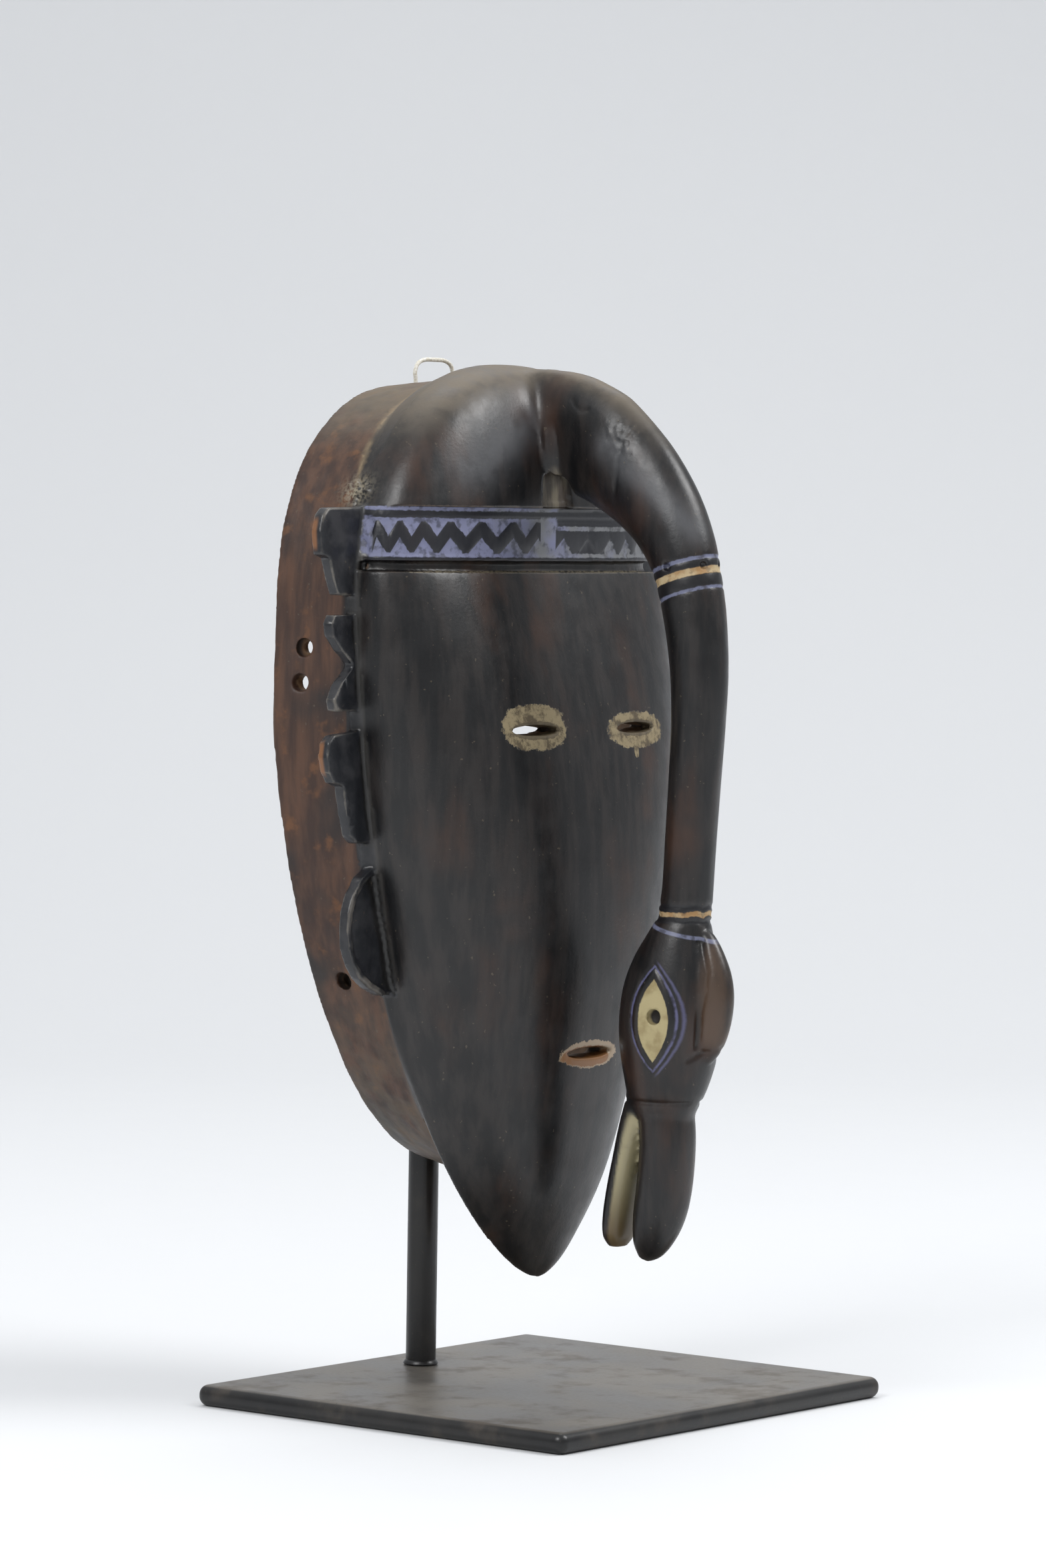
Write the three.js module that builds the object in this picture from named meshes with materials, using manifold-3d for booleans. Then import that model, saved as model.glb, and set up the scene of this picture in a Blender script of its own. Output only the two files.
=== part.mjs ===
// A carved wooden face mask with a long-necked bird arching over it, on its steel stand.
// Millimetres, +Z up. The origin is on the floor under the middle of the foot plate.
// The mask looks along -Y, and +X is the mask's own left.

import * as THREE from 'three';
import { mergeVertices } from 'three/addons/utils/BufferGeometryUtils.js';
import Module from 'manifold-3d';

const wasm = await Module();
wasm.setup();

// Stand
const PLATE_WIDTH = 200;
const PLATE_DEPTH = 174.8;
const PLATE_THICKNESS = 8;
const PLATE_EDGE_RADIUS = 3.6;
const PLATE_CORNER_RADIUS = 4;
const ROD_RADIUS = 5.8;
const ROD_X = 1.5;
const ROD_Y = 61;
const ROD_TOP = 306;
const BEAD_RADIUS = 7.6;
const BEAD_HEIGHT = 1.8;
const ARM_RADIUS = 4;
const ARM_Z = 300;
const PAD_WIDTH = 26;
const PAD_HEIGHT = 18;
const PAD_THICKNESS = 3;
const PAD_Y = 12.05;
const PAD_TILT = 0.332;
const TOUCH_GAP = 0.3;

// Whole mask
const LEAN = 0.0387;
const EYE_LEVEL = 256;
const WALL = 6;
const FACE_WALL = 10;
const OUTLINE_STEPS = 72;
const MERGE_DISTANCE = 0.01;

// Outlines seen from the front: half width, level of the widest point, top and bottom levels,
// and how square the curve is above and below that level
const RIM = { half: 90.5, middle: 262, top: 385, bottom: 89, squareUp: 2.7, squareDown: 1.85 };
const EDGE = { half: 85.5, middle: 300, top: 388.5, bottom: 83, squareUp: 2.2, squareDown: 2.2 };
const FRONT = { half: 85.5, middle: 300, top: 386, bottom: 47.6, squareUp: 2.2, squareDown: 1.75 };
const CAP = { half: 86.5, middle: 290, top: 393, bottom: 200, squareUp: 2.25, squareDown: 2.4 };

// Depths at eye level; the whole mask leans back with height
const RIM_Y = 61;
const EDGE_Y = 28.5;
const EDGE_STEP = 0.9;
const WIDEST_Y = 24;
const CHIN_TIP_Y = 4.2;
const CHIN_CURL_LEVEL = 110;

// The face in profile is an arc of a circle
const PROFILE_RADIUS = 376;
const PROFILE_MIDDLE = 187;
const PROFILE_CHORD_Y = 3;
const PROFILE_BULGE = 27;
const CHIN_BULGE = { depth: 3, level: 85, spread: 30 };
const FACE_FULLNESS_LOW = 2.25;
const FACE_FULLNESS_HIGH = 2.8;
const FACE_TOP = 314.5;

// Headband and the two lobes of the headdress
const BAND_BOTTOM = 318.5;
const BAND_TOP = 338.5;
const BAND_FRONT_Y = 1.8;
const RECESS_FRONT_Y = 4.2;
const BAND_INSET = 3.5;
const BAND_TAPER = 0.16;
const BAND_FULLNESS = 2.8;
const BAND_ROOT_INSET = 2.6;
const LOBE_FRONT_Y = -2;
const LOBE_SIDE_Y = 29;
const LOBE_REAR_Y = 39;
const LOBE_FULLNESS = 3.2;
const PARTING_DEPTH = 3.5;
const PARTING_WIDTH = 6;

// Eyes and mouth
const EYE_X = 30.4;
const EYE_SLIT = { width: 23, height: 4.6 };
const MOUTH_LEVEL = 134.3;
const MOUTH_SLIT = { width: 19, height: 4.4 };

// Side wings: flat tabs that stand out from the edge of the face, and the half-moon ear
const WING_FRONT_Y = 25;
const WING_THICKNESS = 4.6;
const WING_ROOT_X = 70;
const EAR_OUTLINE = [
  [76, 205.6], [84, 201], [89, 195], [91.8, 188.5], [92.6, 182], [92, 175], [90, 169], [86, 164],
  [80, 160], [73, 156.8],
];

// The bird's drilled pupils, and the small pits in the band round its neck
const PUPIL = [-61.9, 151.3];
const PUPIL_RADIUS = 2.5;
const NECK_PITS = [[12.4, -60.8, 317.6, [1, 0]], [5.2, -74.4, 318.7, [0.38, -0.92]]];
const NECK_PIT_RADIUS = 1.5;

// Lacing holes through the collar, and the two small ones for the hanging loop
const LACING_HOLE_RADIUS = 3.3;
const LACING_HOLES = [[49.2, 285.6], [50.7, 272.6], [43.4, 161]];
const LOOP_X = 11;
const LOOP_Y = 60.5;
const LOOP_HOLE_RADIUS = 1.6;
const LOOP_RADIUS = 0.8;
const LOOP_TOP = 395.4;
const LOOP_KNOT_RADIUS = 2.4;

const WOOD = { color: 0x2b2320, roughness: 0.5, metalness: 0 };
const STEEL = { color: 0x1d1c1b, roughness: 0.45, metalness: 0.7 };
const STRING = { color: 0xe6e0d2, roughness: 0.8, metalness: 0 };

const smooth = (a, b, t) => {
  const k = Math.min(1, Math.max(0, (t - a) / (b - a)));
  return k * k * (3 - 2 * k);
};
const mix = (a, b, t) => a + (b - a) * t;
const lean = (z) => LEAN * (z - EYE_LEVEL);

// Meshes and solids

function toSolid(geometry, tolerance = 1e-4) {
  const bare = geometry.clone();
  bare.deleteAttribute('normal');
  bare.deleteAttribute('uv');
  const merged = mergeVertices(bare, tolerance);
  return new wasm.Manifold(new wasm.Mesh({
    numProp: 3,
    vertProperties: new Float32Array(merged.attributes.position.array),
    triVerts: new Uint32Array(merged.index.array),
  }));
}

function toGeometry(solid) {
  const mesh = solid.getMesh();
  const geometry = new THREE.BufferGeometry();
  geometry.setAttribute('position', new THREE.BufferAttribute(mesh.vertProperties, 3));
  geometry.setIndex(new THREE.BufferAttribute(mesh.triVerts, 1));
  geometry.computeVertexNormals();
  return geometry;
}

// A closed skin over rings of equal length, with a middle point closing each end
function ringSolid(rings) {
  const count = rings[0].length;
  const positions = [];
  const faces = [];
  for (const ring of rings) {
    for (const point of ring) positions.push(point[0], point[1], point[2]);
  }
  const middle = (ring) => ring
    .reduce((sum, p) => [sum[0] + p[0], sum[1] + p[1], sum[2] + p[2]], [0, 0, 0])
    .map((v) => v / ring.length);
  for (let r = 0; r < rings.length - 1; r += 1) {
    for (let i = 0; i < count; i += 1) {
      const j = (i + 1) % count;
      const a = r * count + i;
      const b = r * count + j;
      faces.push(a, b, b + count, a, b + count, a + count);
    }
  }
  const first = positions.length / 3;
  positions.push(...middle(rings[0]), ...middle(rings.at(-1)));
  const lastRing = (rings.length - 1) * count;
  for (let i = 0; i < count; i += 1) {
    const j = (i + 1) % count;
    faces.push(first, j, i, first + 1, lastRing + i, lastRing + j);
  }
  const geometry = new THREE.BufferGeometry();
  geometry.setAttribute('position', new THREE.Float32BufferAttribute(positions, 3));
  geometry.setIndex(faces);
  return toSolid(geometry);
}

function boxSolid(size, centre) {
  const geometry = new THREE.BoxGeometry(...size);
  geometry.translate(...centre);
  return toSolid(geometry);
}

function mirrorX(solid) {
  return solid.mirror([1, 0, 0]);
}

// The mask's outlines

function outlinePoint(outline, turn, scale = 1) {
  const up = Math.sin(turn) >= 0;
  const square = up ? outline.squareUp : outline.squareDown;
  const reach = up ? outline.top - outline.middle : outline.middle - outline.bottom;
  const side = Math.cos(turn);
  const rise = Math.sin(turn);
  return [
    scale * outline.half * Math.sign(side) * Math.abs(side) ** (2 / square),
    outline.middle + scale * reach * Math.sign(rise) * Math.abs(rise) ** (2 / square),
  ];
}

function halfWidth(outline, z) {
  const up = z >= outline.middle;
  const square = up ? outline.squareUp : outline.squareDown;
  const reach = up ? outline.top - outline.middle : outline.middle - outline.bottom;
  const level = Math.min(1, Math.abs(z - outline.middle) / reach);
  return outline.half * (1 - level ** square) ** (1 / square);
}

function shrink(outline, by, byTop = by, byBottom = by) {
  return {
    ...outline,
    half: outline.half - by,
    top: outline.top - byTop,
    bottom: outline.bottom + byBottom,
  };
}

// Equal steps along the outline, from +X over the top; the corners of the power curves
// are passed by stepping on their own angle
function ring(outline, depth, scale = 1, steps = OUTLINE_STEPS) {
  const points = [];
  for (let i = 0; i < steps; i += 1) {
    const [x, z] = outlinePoint(outline, (2 * Math.PI * i) / steps, scale);
    points.push([x, depth(x, z), z]);
  }
  return points;
}

// Where the face is widest, the surface turns from the front to the collar
function widestY(z) {
  const curl = Math.max(0, (CHIN_CURL_LEVEL - z) / (CHIN_CURL_LEVEL - FRONT.bottom));
  const straight = WIDEST_Y + lean(z);
  const atTip = WIDEST_Y + lean(FRONT.bottom) - CHIN_TIP_Y;
  return straight - atTip * curl ** 1.5;
}

function profileY(z) {
  const rise = Math.sqrt(PROFILE_RADIUS ** 2 - (z - PROFILE_MIDDLE) ** 2);
  const along = (z - CHIN_BULGE.level) / CHIN_BULGE.spread;
  const chin = CHIN_BULGE.depth * Math.exp(-along * along);
  return PROFILE_CHORD_Y - (rise - PROFILE_RADIUS + PROFILE_BULGE) - chin;
}

function faceY(x, z, back = 0) {
  const half = Math.max(1e-3, halfWidth(FRONT, z) - back);
  const square = mix(FACE_FULLNESS_LOW, FACE_FULLNESS_HIGH, smooth(140, 305, z));
  const across = Math.min(1, Math.abs(x) / half);
  const start = widestY(z);
  const depth = Math.max(0, start - profileY(z) - back);
  return start - depth * (1 - across ** square) ** (1 / square);
}

// Dome: rings that close in from the outline to its middle, the depth given by a function
function domeRings(outline, depth, steps, around = OUTLINE_STEPS) {
  const rings = [];
  for (let k = steps; k > 0; k -= 1) {
    const scale = Math.sin((0.5 * Math.PI * k) / steps);
    rings.push(ring(outline, depth, scale, around));
  }
  return rings;
}

function buildFace() {
  const back = ring(shrink(EDGE, 3), (x, z) => EDGE_Y + 8 + lean(z));
  const edge = ring(EDGE, (x, z) => EDGE_Y + lean(z));
  const solid = ringSolid([back, edge, ...domeRings(FRONT, faceY, 10)]);
  return solid.intersect(boxSolid([240, 200, 400], [0, 0, FACE_TOP - 200]));
}

// The recessed ground behind the headband, and the band itself, share one cross-section
function bandSlice(frontY, widen, bottom, top) {
  const steps = 40;
  const rings = [top, bottom].map((z) => {
    const half = CAP.half - BAND_INSET + widen - BAND_TAPER * Math.max(0, z - BAND_BOTTOM);
    const points = [];
    for (let i = 0; i <= steps; i += 1) {
      const turn = (Math.PI * i) / steps;
      const across = Math.abs(Math.cos(turn)) ** (2 / BAND_FULLNESS);
      const forward = Math.sin(turn) ** (2 / BAND_FULLNESS);
      const y = LOBE_SIDE_Y - (LOBE_SIDE_Y - frontY) * forward;
      points.push([half * Math.sign(Math.cos(turn)) * across, y, z]);
    }
    points.push([-half + BAND_ROOT_INSET, EDGE_Y + 8, z], [half - BAND_ROOT_INSET, EDGE_Y + 8, z]);
    return points;
  });
  return ringSolid(rings);
}

function lobeY(x, z) {
  const rise = (z - CAP.middle) / (CAP.top - CAP.middle);
  const level = Math.abs(rise) ** CAP.squareUp + (Math.abs(x) / CAP.half) ** CAP.squareUp;
  const radius = Math.min(1, level ** (1 / CAP.squareUp));
  const full = (1 - radius ** LOBE_FULLNESS) ** (1 / LOBE_FULLNESS);
  const dome = LOBE_SIDE_Y - (LOBE_SIDE_Y - LOBE_FRONT_Y) * full;
  const parting = PARTING_DEPTH * Math.exp(-((x / PARTING_WIDTH) ** 2)) * (1 - smooth(378, 390, z));
  return dome + parting;
}

function buildHeaddress() {
  const rear = ring(shrink(CAP, 6, 7), () => LOBE_REAR_Y + 2);
  const crease = ring(shrink(CAP, 3.5, 3.5), () => LOBE_REAR_Y);
  const shoulder = ring(CAP, () => LOBE_SIDE_Y);
  const dome = domeRings(CAP, lobeY, 10).slice(1);
  const solid = ringSolid([rear, crease, shoulder, ...dome]);
  return solid.intersect(boxSolid([240, 200, 200], [0, 0, BAND_TOP + 100]));
}

// The collar runs from the edge of the face back to the open rim
function buildCollar() {
  const rim = ring(RIM, (x, z) => RIM_Y + lean(z));
  const step = ring(shrink(EDGE, EDGE_STEP), (x, z) => EDGE_Y + 2 + lean(z));
  const front = ring(shrink(EDGE, 7), (x, z) => EDGE_Y - 5 + lean(z));
  return ringSolid([rim, step, front]);
}

// What is carved away inside, open at the back
function buildHollow() {
  const around = 48;
  const at = (outline, y) => ring(outline, (x, z) => y + lean(z), 1, around);
  const behind = at(shrink(RIM, WALL, WALL, WALL + 2), RIM_Y + 12);
  const rim = at(shrink(RIM, WALL, WALL, WALL + 2), RIM_Y);
  const edge = at(shrink(EDGE, WALL + 2, WALL + 2, 20), EDGE_Y + 6);
  const inner = { ...FRONT, half: FRONT.half - FACE_WALL, top: 372, bottom: 104, squareDown: 2 };
  const depth = (x, z) => {
    const shell = faceY(x, Math.min(z, 300), FACE_WALL) + 1;
    return Math.max(shell, mix(shell, 18, smooth(270, 335, z)));
  };
  return ringSolid([behind, rim, edge, ...domeRings(inner, depth, 6, around)]);
}

// Wings: a plate is drawn in front view and given its thickness, then leant with the mask

function plateSolid(points) {
  const shape = new THREE.Shape(points.map(([x, z]) => new THREE.Vector2(x, z)));
  const geometry = new THREE.ExtrudeGeometry(shape, {
    depth: WING_THICKNESS,
    bevelEnabled: false,
    curveSegments: 6,
  });
  const position = geometry.attributes.position;
  for (let i = 0; i < position.count; i += 1) {
    const x = position.getX(i);
    const z = position.getY(i);
    const y = WING_FRONT_Y + lean(z) + WING_THICKNESS - position.getZ(i);
    position.setXYZ(i, x, y, z);
  }
  return toSolid(geometry);
}

function buildWings() {
  const root = WING_ROOT_X;
  const upperTab = [
    [root, 338.5], [root, 305.5], [94.8, 305.5], [97.5, 312], [99.8, 319.2], [104, 320.5],
    [104.5, 329], [102.5, 335], [99.5, 337.5],
  ];
  const notched = [
    [root, 298.6], [root, 263], [97, 263], [98.2, 267], [93.5, 273.5], [86.5, 279.5],
    [93, 285], [98.2, 290.5], [98.8, 295], [97, 298.2],
  ];
  const lowerTab = [
    [root, 256.5], [root, 214], [86.5, 214], [90, 216.5], [92.2, 225], [93.6, 235],
    [99, 236.5], [101.8, 240.5], [102.6, 246], [101.5, 251.5], [98.5, 254],
  ];
  const ear = [...EAR_OUTLINE, [62, 158], [68, 203]];
  const plates = [upperTab, notched, lowerTab, ear].map(plateSolid);
  return wasm.Manifold.union([...plates, ...plates.map(mirrorX)]);
}

// Bird: neck and mandibles are swept along the middle plane. Each station is
// [y, z, radius in the middle plane, radius across]
const NECK_STATIONS = [
  [20, 377, 13, 2.5], [11, 375.5, 17, 5], [2, 372.6, 20.4, 8.2], [-8.4, 368, 22.7, 10.8],
  [-18.6, 363.6, 22.2, 11.8], [-29.8, 356.8, 20.4, 12], [-41, 348.2, 18.3, 12],
  [-51.2, 337.3, 16, 12], [-58.4, 325.5, 14, 11.9], [-62.6, 313.9, 12.7, 11.6],
  [-66.2, 298, 11.9, 11.2], [-68.3, 279, 11.1, 10.6],
  [-68.3, 260, 10.2, 10.2], [-67.2, 240, 9.8, 9.8], [-65.8, 218, 9.6, 9.6],
  [-64.7, 198, 9.6, 9.6], [-63.6, 188, 10.2, 10],
];
const HEAD_STATIONS = [
  [-64, 193, 8, 8], [-63.4, 186, 10.4, 10], [-62, 178, 13.6, 12.6], [-60, 168, 17.4, 15.2],
  [-58.4, 158, 19.6, 16.8], [-57.6, 147, 20.2, 17.2], [-57, 136, 19, 16.4],
  [-56, 126, 16.6, 14.4], [-54.5, 117, 13.4, 12], [-53, 111, 10, 9],
];
const CASQUE_STATIONS = [
  [-66, 183, 3, 2], [-70, 178, 8, 5], [-71.5, 169, 12, 7.2], [-72, 159, 13.8, 8],
  [-71, 148, 13, 7.6], [-68.5, 139, 10.4, 6.2], [-66, 132, 5, 3],
];
const UPPER_BEAK_STATIONS = [
  [-55, 122, 8, 8], [-56.6, 114, 9.6, 10.4], [-57.4, 105, 10, 10.4], [-57, 95, 10.4, 10],
  [-55.8, 84.5, 10.5, 9.6], [-54, 76, 10, 9], [-51.6, 68.5, 8.4, 7.6], [-49.2, 62.6, 6, 5.4],
  [-47.4, 59, 2.4, 2.4],
];
const LOWER_BEAK_STATIONS = [
  [-48, 122, 7, 8], [-45.6, 113, 6.2, 9], [-42.8, 105, 5.2, 9], [-40.4, 96, 4.8, 8.8],
  [-37.8, 85, 4.8, 8.6], [-35.8, 74, 4.8, 8.2], [-35, 66.5, 4.2, 7.2], [-34.8, 62.4, 2.4, 4],
];

function sweptSolid(stations, sides, place = (x, y, z) => [x, y, z]) {
  const rings = stations.map(([y, z, inPlane, across], index) => {
    const before = stations[Math.max(0, index - 1)];
    const after = stations[Math.min(stations.length - 1, index + 1)];
    const along = Math.atan2(after[1] - before[1], after[0] - before[0]);
    const points = [];
    for (let i = 0; i < sides; i += 1) {
      const turn = (2 * Math.PI * i) / sides;
      const out = inPlane * Math.cos(turn);
      points.push(place(
        across * Math.sin(turn),
        y - out * Math.sin(along),
        z + out * Math.cos(along),
      ));
    }
    return points;
  });
  return ringSolid(rings);
}

function buildBird() {
  return wasm.Manifold.union([
    sweptSolid(NECK_STATIONS, 14),
    sweptSolid(HEAD_STATIONS, 18),
    sweptSolid(CASQUE_STATIONS, 12),
    sweptSolid(UPPER_BEAK_STATIONS, 14),
    sweptSolid(LOWER_BEAK_STATIONS, 12),
  ]);
}

// Cuts: slits along Y, holes along X or Z

function slitCutter(width, height, x, y, z) {
  const geometry = new THREE.CylinderGeometry(0.5, 0.5, 44, 10);
  geometry.scale(width, 1, height);
  geometry.translate(x, y, z);
  return toSolid(geometry);
}

function holeCutter(radius, length, direction, centre) {
  const geometry = new THREE.CylinderGeometry(radius, radius, length, 10);
  const along = new THREE.Vector3(...direction).normalize();
  const turn = new THREE.Quaternion().setFromUnitVectors(new THREE.Vector3(0, 1, 0), along);
  geometry.applyQuaternion(turn);
  geometry.translate(...centre);
  return toSolid(geometry);
}

function buildCuts() {
  const cuts = [
    slitCutter(EYE_SLIT.width, EYE_SLIT.height, EYE_X, -12, EYE_LEVEL),
    slitCutter(EYE_SLIT.width, EYE_SLIT.height, -EYE_X, -12, EYE_LEVEL),
    slitCutter(MOUTH_SLIT.width, MOUTH_SLIT.height, 0, -14, MOUTH_LEVEL),
  ];
  for (const side of [-1, 1]) {
    for (const [y, z] of LACING_HOLES) {
      cuts.push(holeCutter(LACING_HOLE_RADIUS, 40, [1, 0, 0], [side * 82, y, z]));
    }
    cuts.push(holeCutter(LOOP_HOLE_RADIUS, 24, [0, 0, 1], [side * LOOP_X, LOOP_Y, 384]));
    cuts.push(holeCutter(PUPIL_RADIUS, 7, [1, 0, 0], [side * 17.5, ...PUPIL]));
    for (const [x, y, z, towards] of NECK_PITS) {
      cuts.push(holeCutter(NECK_PIT_RADIUS, 6, [side * towards[0], towards[1], 0], [side * x, y, z]));
    }
  }
  return wasm.Manifold.union(cuts);
}

function buildMask() {
  const solid = wasm.Manifold.union([
    buildFace(),
    bandSlice(RECESS_FRONT_Y, -1, 300, BAND_TOP + 1),
    bandSlice(BAND_FRONT_Y, 0.6, BAND_BOTTOM, BAND_TOP),
    buildHeaddress(),
    buildCollar(),
    buildWings(),
    buildBird(),
  ]);
  return outerSkin(solid.subtract(buildHollow()).subtract(buildCuts()));
}

// Points closer than a hundredth of a millimetre are made one, and any sliver of void
// that is shut in between joined forms is filled
function outerSkin(solid) {
  const snapped = toSolid(toGeometry(solid), MERGE_DISTANCE);
  return snapped.decompose().sort((a, b) => b.volume() - a.volume())[0];
}

// Stand

function roundedRectangle(width, depth, radius) {
  const shape = new THREE.Shape();
  const x = width / 2 - radius;
  const y = depth / 2 - radius;
  shape.absarc(x, y, radius, 0, Math.PI / 2);
  shape.absarc(-x, y, radius, Math.PI / 2, Math.PI);
  shape.absarc(-x, -y, radius, Math.PI, 1.5 * Math.PI);
  shape.absarc(x, -y, radius, 1.5 * Math.PI, 2 * Math.PI);
  return shape;
}

function buildPlate() {
  const r = PLATE_EDGE_RADIUS;
  const shape = roundedRectangle(PLATE_WIDTH - 2 * r, PLATE_DEPTH - 2 * r, PLATE_CORNER_RADIUS);
  const geometry = new THREE.ExtrudeGeometry(shape, {
    depth: PLATE_THICKNESS - 2 * r,
    bevelEnabled: true,
    bevelSize: r,
    bevelThickness: r,
    bevelSegments: 4,
    curveSegments: 3,
  });
  geometry.translate(0, 0, r);
  return toGeometry(toSolid(geometry));
}

// The upright, its weld bead, and the arm and pad that reach inside the mask's forehead
function buildRod() {
  const bottom = PLATE_THICKNESS + TOUCH_GAP;
  const rod = new THREE.CylinderGeometry(ROD_RADIUS, ROD_RADIUS, ROD_TOP - bottom, 20);
  rod.rotateX(Math.PI / 2);
  rod.translate(ROD_X, ROD_Y, (ROD_TOP + bottom) / 2);
  const bead = new THREE.CylinderGeometry(ROD_RADIUS + 0.4, BEAD_RADIUS, BEAD_HEIGHT, 20);
  bead.rotateX(Math.PI / 2);
  bead.translate(ROD_X, ROD_Y, bottom + BEAD_HEIGHT / 2);
  const arm = new THREE.CylinderGeometry(ARM_RADIUS, ARM_RADIUS, ROD_Y - PAD_Y, 12);
  arm.translate(ROD_X, (ROD_Y + PAD_Y) / 2, ARM_Z);
  const pad = new THREE.BoxGeometry(PAD_WIDTH, PAD_THICKNESS, PAD_HEIGHT);
  pad.rotateX(-PAD_TILT);
  pad.translate(ROD_X, PAD_Y, ARM_Z);
  return toGeometry(wasm.Manifold.union([rod, bead, arm, pad].map((form) => toSolid(form))));
}

// Half of the loop's line, as [x, z] from the knot inside the collar up to the middle
const LOOP_LINE = [[11, 375.9], [11, 387], [11.4, 389.6], [9.9, 392.8], [6, 394.4]];

function buildLoop() {
  const left = LOOP_LINE.map(([x, z]) => [-x, z, LOOP_RADIUS, LOOP_RADIUS]);
  const right = LOOP_LINE.map(([x, z]) => [x, z, LOOP_RADIUS, LOOP_RADIUS]).reverse();
  const stations = [...left, [0, LOOP_TOP - LOOP_RADIUS, LOOP_RADIUS, LOOP_RADIUS], ...right];
  const line = sweptSolid(stations, 6, (across, x, z) => [x, LOOP_Y - across, z]);
  const knots = [-1, 1].map((side) => {
    const knot = new THREE.IcosahedronGeometry(LOOP_KNOT_RADIUS, 1);
    knot.translate(side * LOOP_LINE[0][0], LOOP_Y, LOOP_LINE[0][1]);
    return toSolid(knot);
  });
  return toGeometry(wasm.Manifold.union([line, ...knots]));
}

function named(name, geometry, finish) {
  const mesh = new THREE.Mesh(geometry, new THREE.MeshStandardMaterial(finish));
  mesh.name = name;
  return mesh;
}

const model = new THREE.Group();
model.add(named('mask', toGeometry(buildMask()), WOOD));
model.add(named('stand_plate', buildPlate(), STEEL));
model.add(named('stand_rod', buildRod(), STEEL));
model.add(named('hanging_loop', buildLoop(), STRING));

export default model;
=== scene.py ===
# %% [markdown]
# # A carved face mask on its stand
# The object is a wooden mask with a long-necked bird that grows out of the headdress and hangs
# in front of the face. A steel rod on a foot plate holds it. Here each piece is shaped in
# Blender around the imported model, and then painted with procedural materials.

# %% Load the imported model
import math

import bpy
import numpy as np
from mathutils import Matrix, Vector


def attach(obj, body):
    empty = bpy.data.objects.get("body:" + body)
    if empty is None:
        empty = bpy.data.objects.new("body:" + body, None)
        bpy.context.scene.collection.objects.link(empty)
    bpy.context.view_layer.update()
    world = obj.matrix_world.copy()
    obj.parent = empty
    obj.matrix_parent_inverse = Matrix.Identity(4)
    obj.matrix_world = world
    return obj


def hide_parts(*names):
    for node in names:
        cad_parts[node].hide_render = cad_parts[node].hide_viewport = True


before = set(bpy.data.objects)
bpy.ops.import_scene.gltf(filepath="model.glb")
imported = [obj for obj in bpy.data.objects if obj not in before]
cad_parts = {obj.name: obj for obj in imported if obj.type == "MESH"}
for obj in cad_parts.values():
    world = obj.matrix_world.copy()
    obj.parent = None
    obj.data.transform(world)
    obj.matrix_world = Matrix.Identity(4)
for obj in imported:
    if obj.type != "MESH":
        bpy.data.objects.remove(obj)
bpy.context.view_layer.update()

MM = 0.001

# %% [markdown]
# ## Picking up and putting down
# Blender's tools work on what is selected, and every new piece comes selected. So a piece is
# picked up for its tool and put down again afterwards, and the work starts with empty hands.

# %% Pick up and put down
def pick_up(piece):
    bpy.context.view_layer.objects.active = piece
    piece.select_set(True)


def put_down():
    bpy.ops.object.select_all(action="DESELECT")


def settle():
    """Turn a new piece's place, turn and size into its corners, and put it down."""
    bpy.ops.object.transform_apply(location=True, rotation=True, scale=True)
    put_down()


put_down()

# %% [markdown]
# ## Camera
# The photograph was taken from the mask's right, a little above its middle, with a long lens.
# The camera goes first, so that every later step can be looked at from there.

# %% Camera
AZIMUTH = math.radians(-51.745)
ELEVATION = math.radians(2.683)
ROLL = math.radians(0.896)
CAMERA_PLACE = (-1.8120, -1.41473, 0.34216)
LENS = 139.91
SEEN_UP_TO = 30


def direction(azimuth, elevation):
    return Vector((
        math.sin(azimuth) * math.cos(elevation),
        -math.cos(azimuth) * math.cos(elevation),
        math.sin(elevation),
    ))


back = direction(AZIMUTH, ELEVATION)
level_right = Vector((math.cos(AZIMUTH), math.sin(AZIMUTH), 0))
level_up = back.cross(level_right)
right = math.cos(ROLL) * level_right + math.sin(ROLL) * level_up
up = -math.sin(ROLL) * level_right + math.cos(ROLL) * level_up
bpy.ops.object.camera_add()
camera = bpy.context.object
camera.data.lens = LENS
camera.data.clip_end = SEEN_UP_TO
facing = Matrix((right, up, back)).transposed().to_4x4()
camera.matrix_world = Matrix.Translation(CAMERA_PLACE) @ facing
bpy.context.scene.camera = camera
put_down()
print("camera looks along", [round(v, 3) for v in -back])

# %% [markdown]
# ## One way to make a rounded form
# A carver's forms have no straight edges, so a box or a ball is a poor start. A flat grid is
# better: it can be rolled up and pushed to any closed form, as a sheet of clay can. Each corner
# of the grid has a place across (u) and along (v), and a rule says where that corner goes.
# Where the sheet meets itself, its double corners are merged in edit mode.

# %% Measures that blend into each other
def mix(a, b, t):
    return a + (b - a) * t


def smooth(a, b, t):
    k = np.clip((t - a) / (b - a), 0.0, 1.0)
    return k * k * (3 - 2 * k)


def signed_power(value, power):
    return np.sign(value) * np.abs(value) ** power


# %% A sheet that is rolled up into a form
def corners_of(piece, what="co"):
    holder = piece.data.vertices if what == "co" else piece.data.vertex_normals
    flat = np.empty(len(holder) * 3, dtype=np.float32)
    holder.foreach_get("co" if what == "co" else "vector", flat)
    return flat.reshape(-1, 3).astype(float)


def move_corners(piece, places):
    piece.data.vertices.foreach_set("co", places.astype(np.float32).ravel())
    piece.data.update()


def close_sheet(piece):
    bpy.ops.object.mode_set(mode="EDIT")
    bpy.ops.mesh.select_all(action="SELECT")
    bpy.ops.mesh.remove_doubles(threshold=0.002 * MM)
    bpy.ops.mesh.normals_make_consistent(inside=False)
    bpy.ops.object.mode_set(mode="OBJECT")
    put_down()
    return piece


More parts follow.
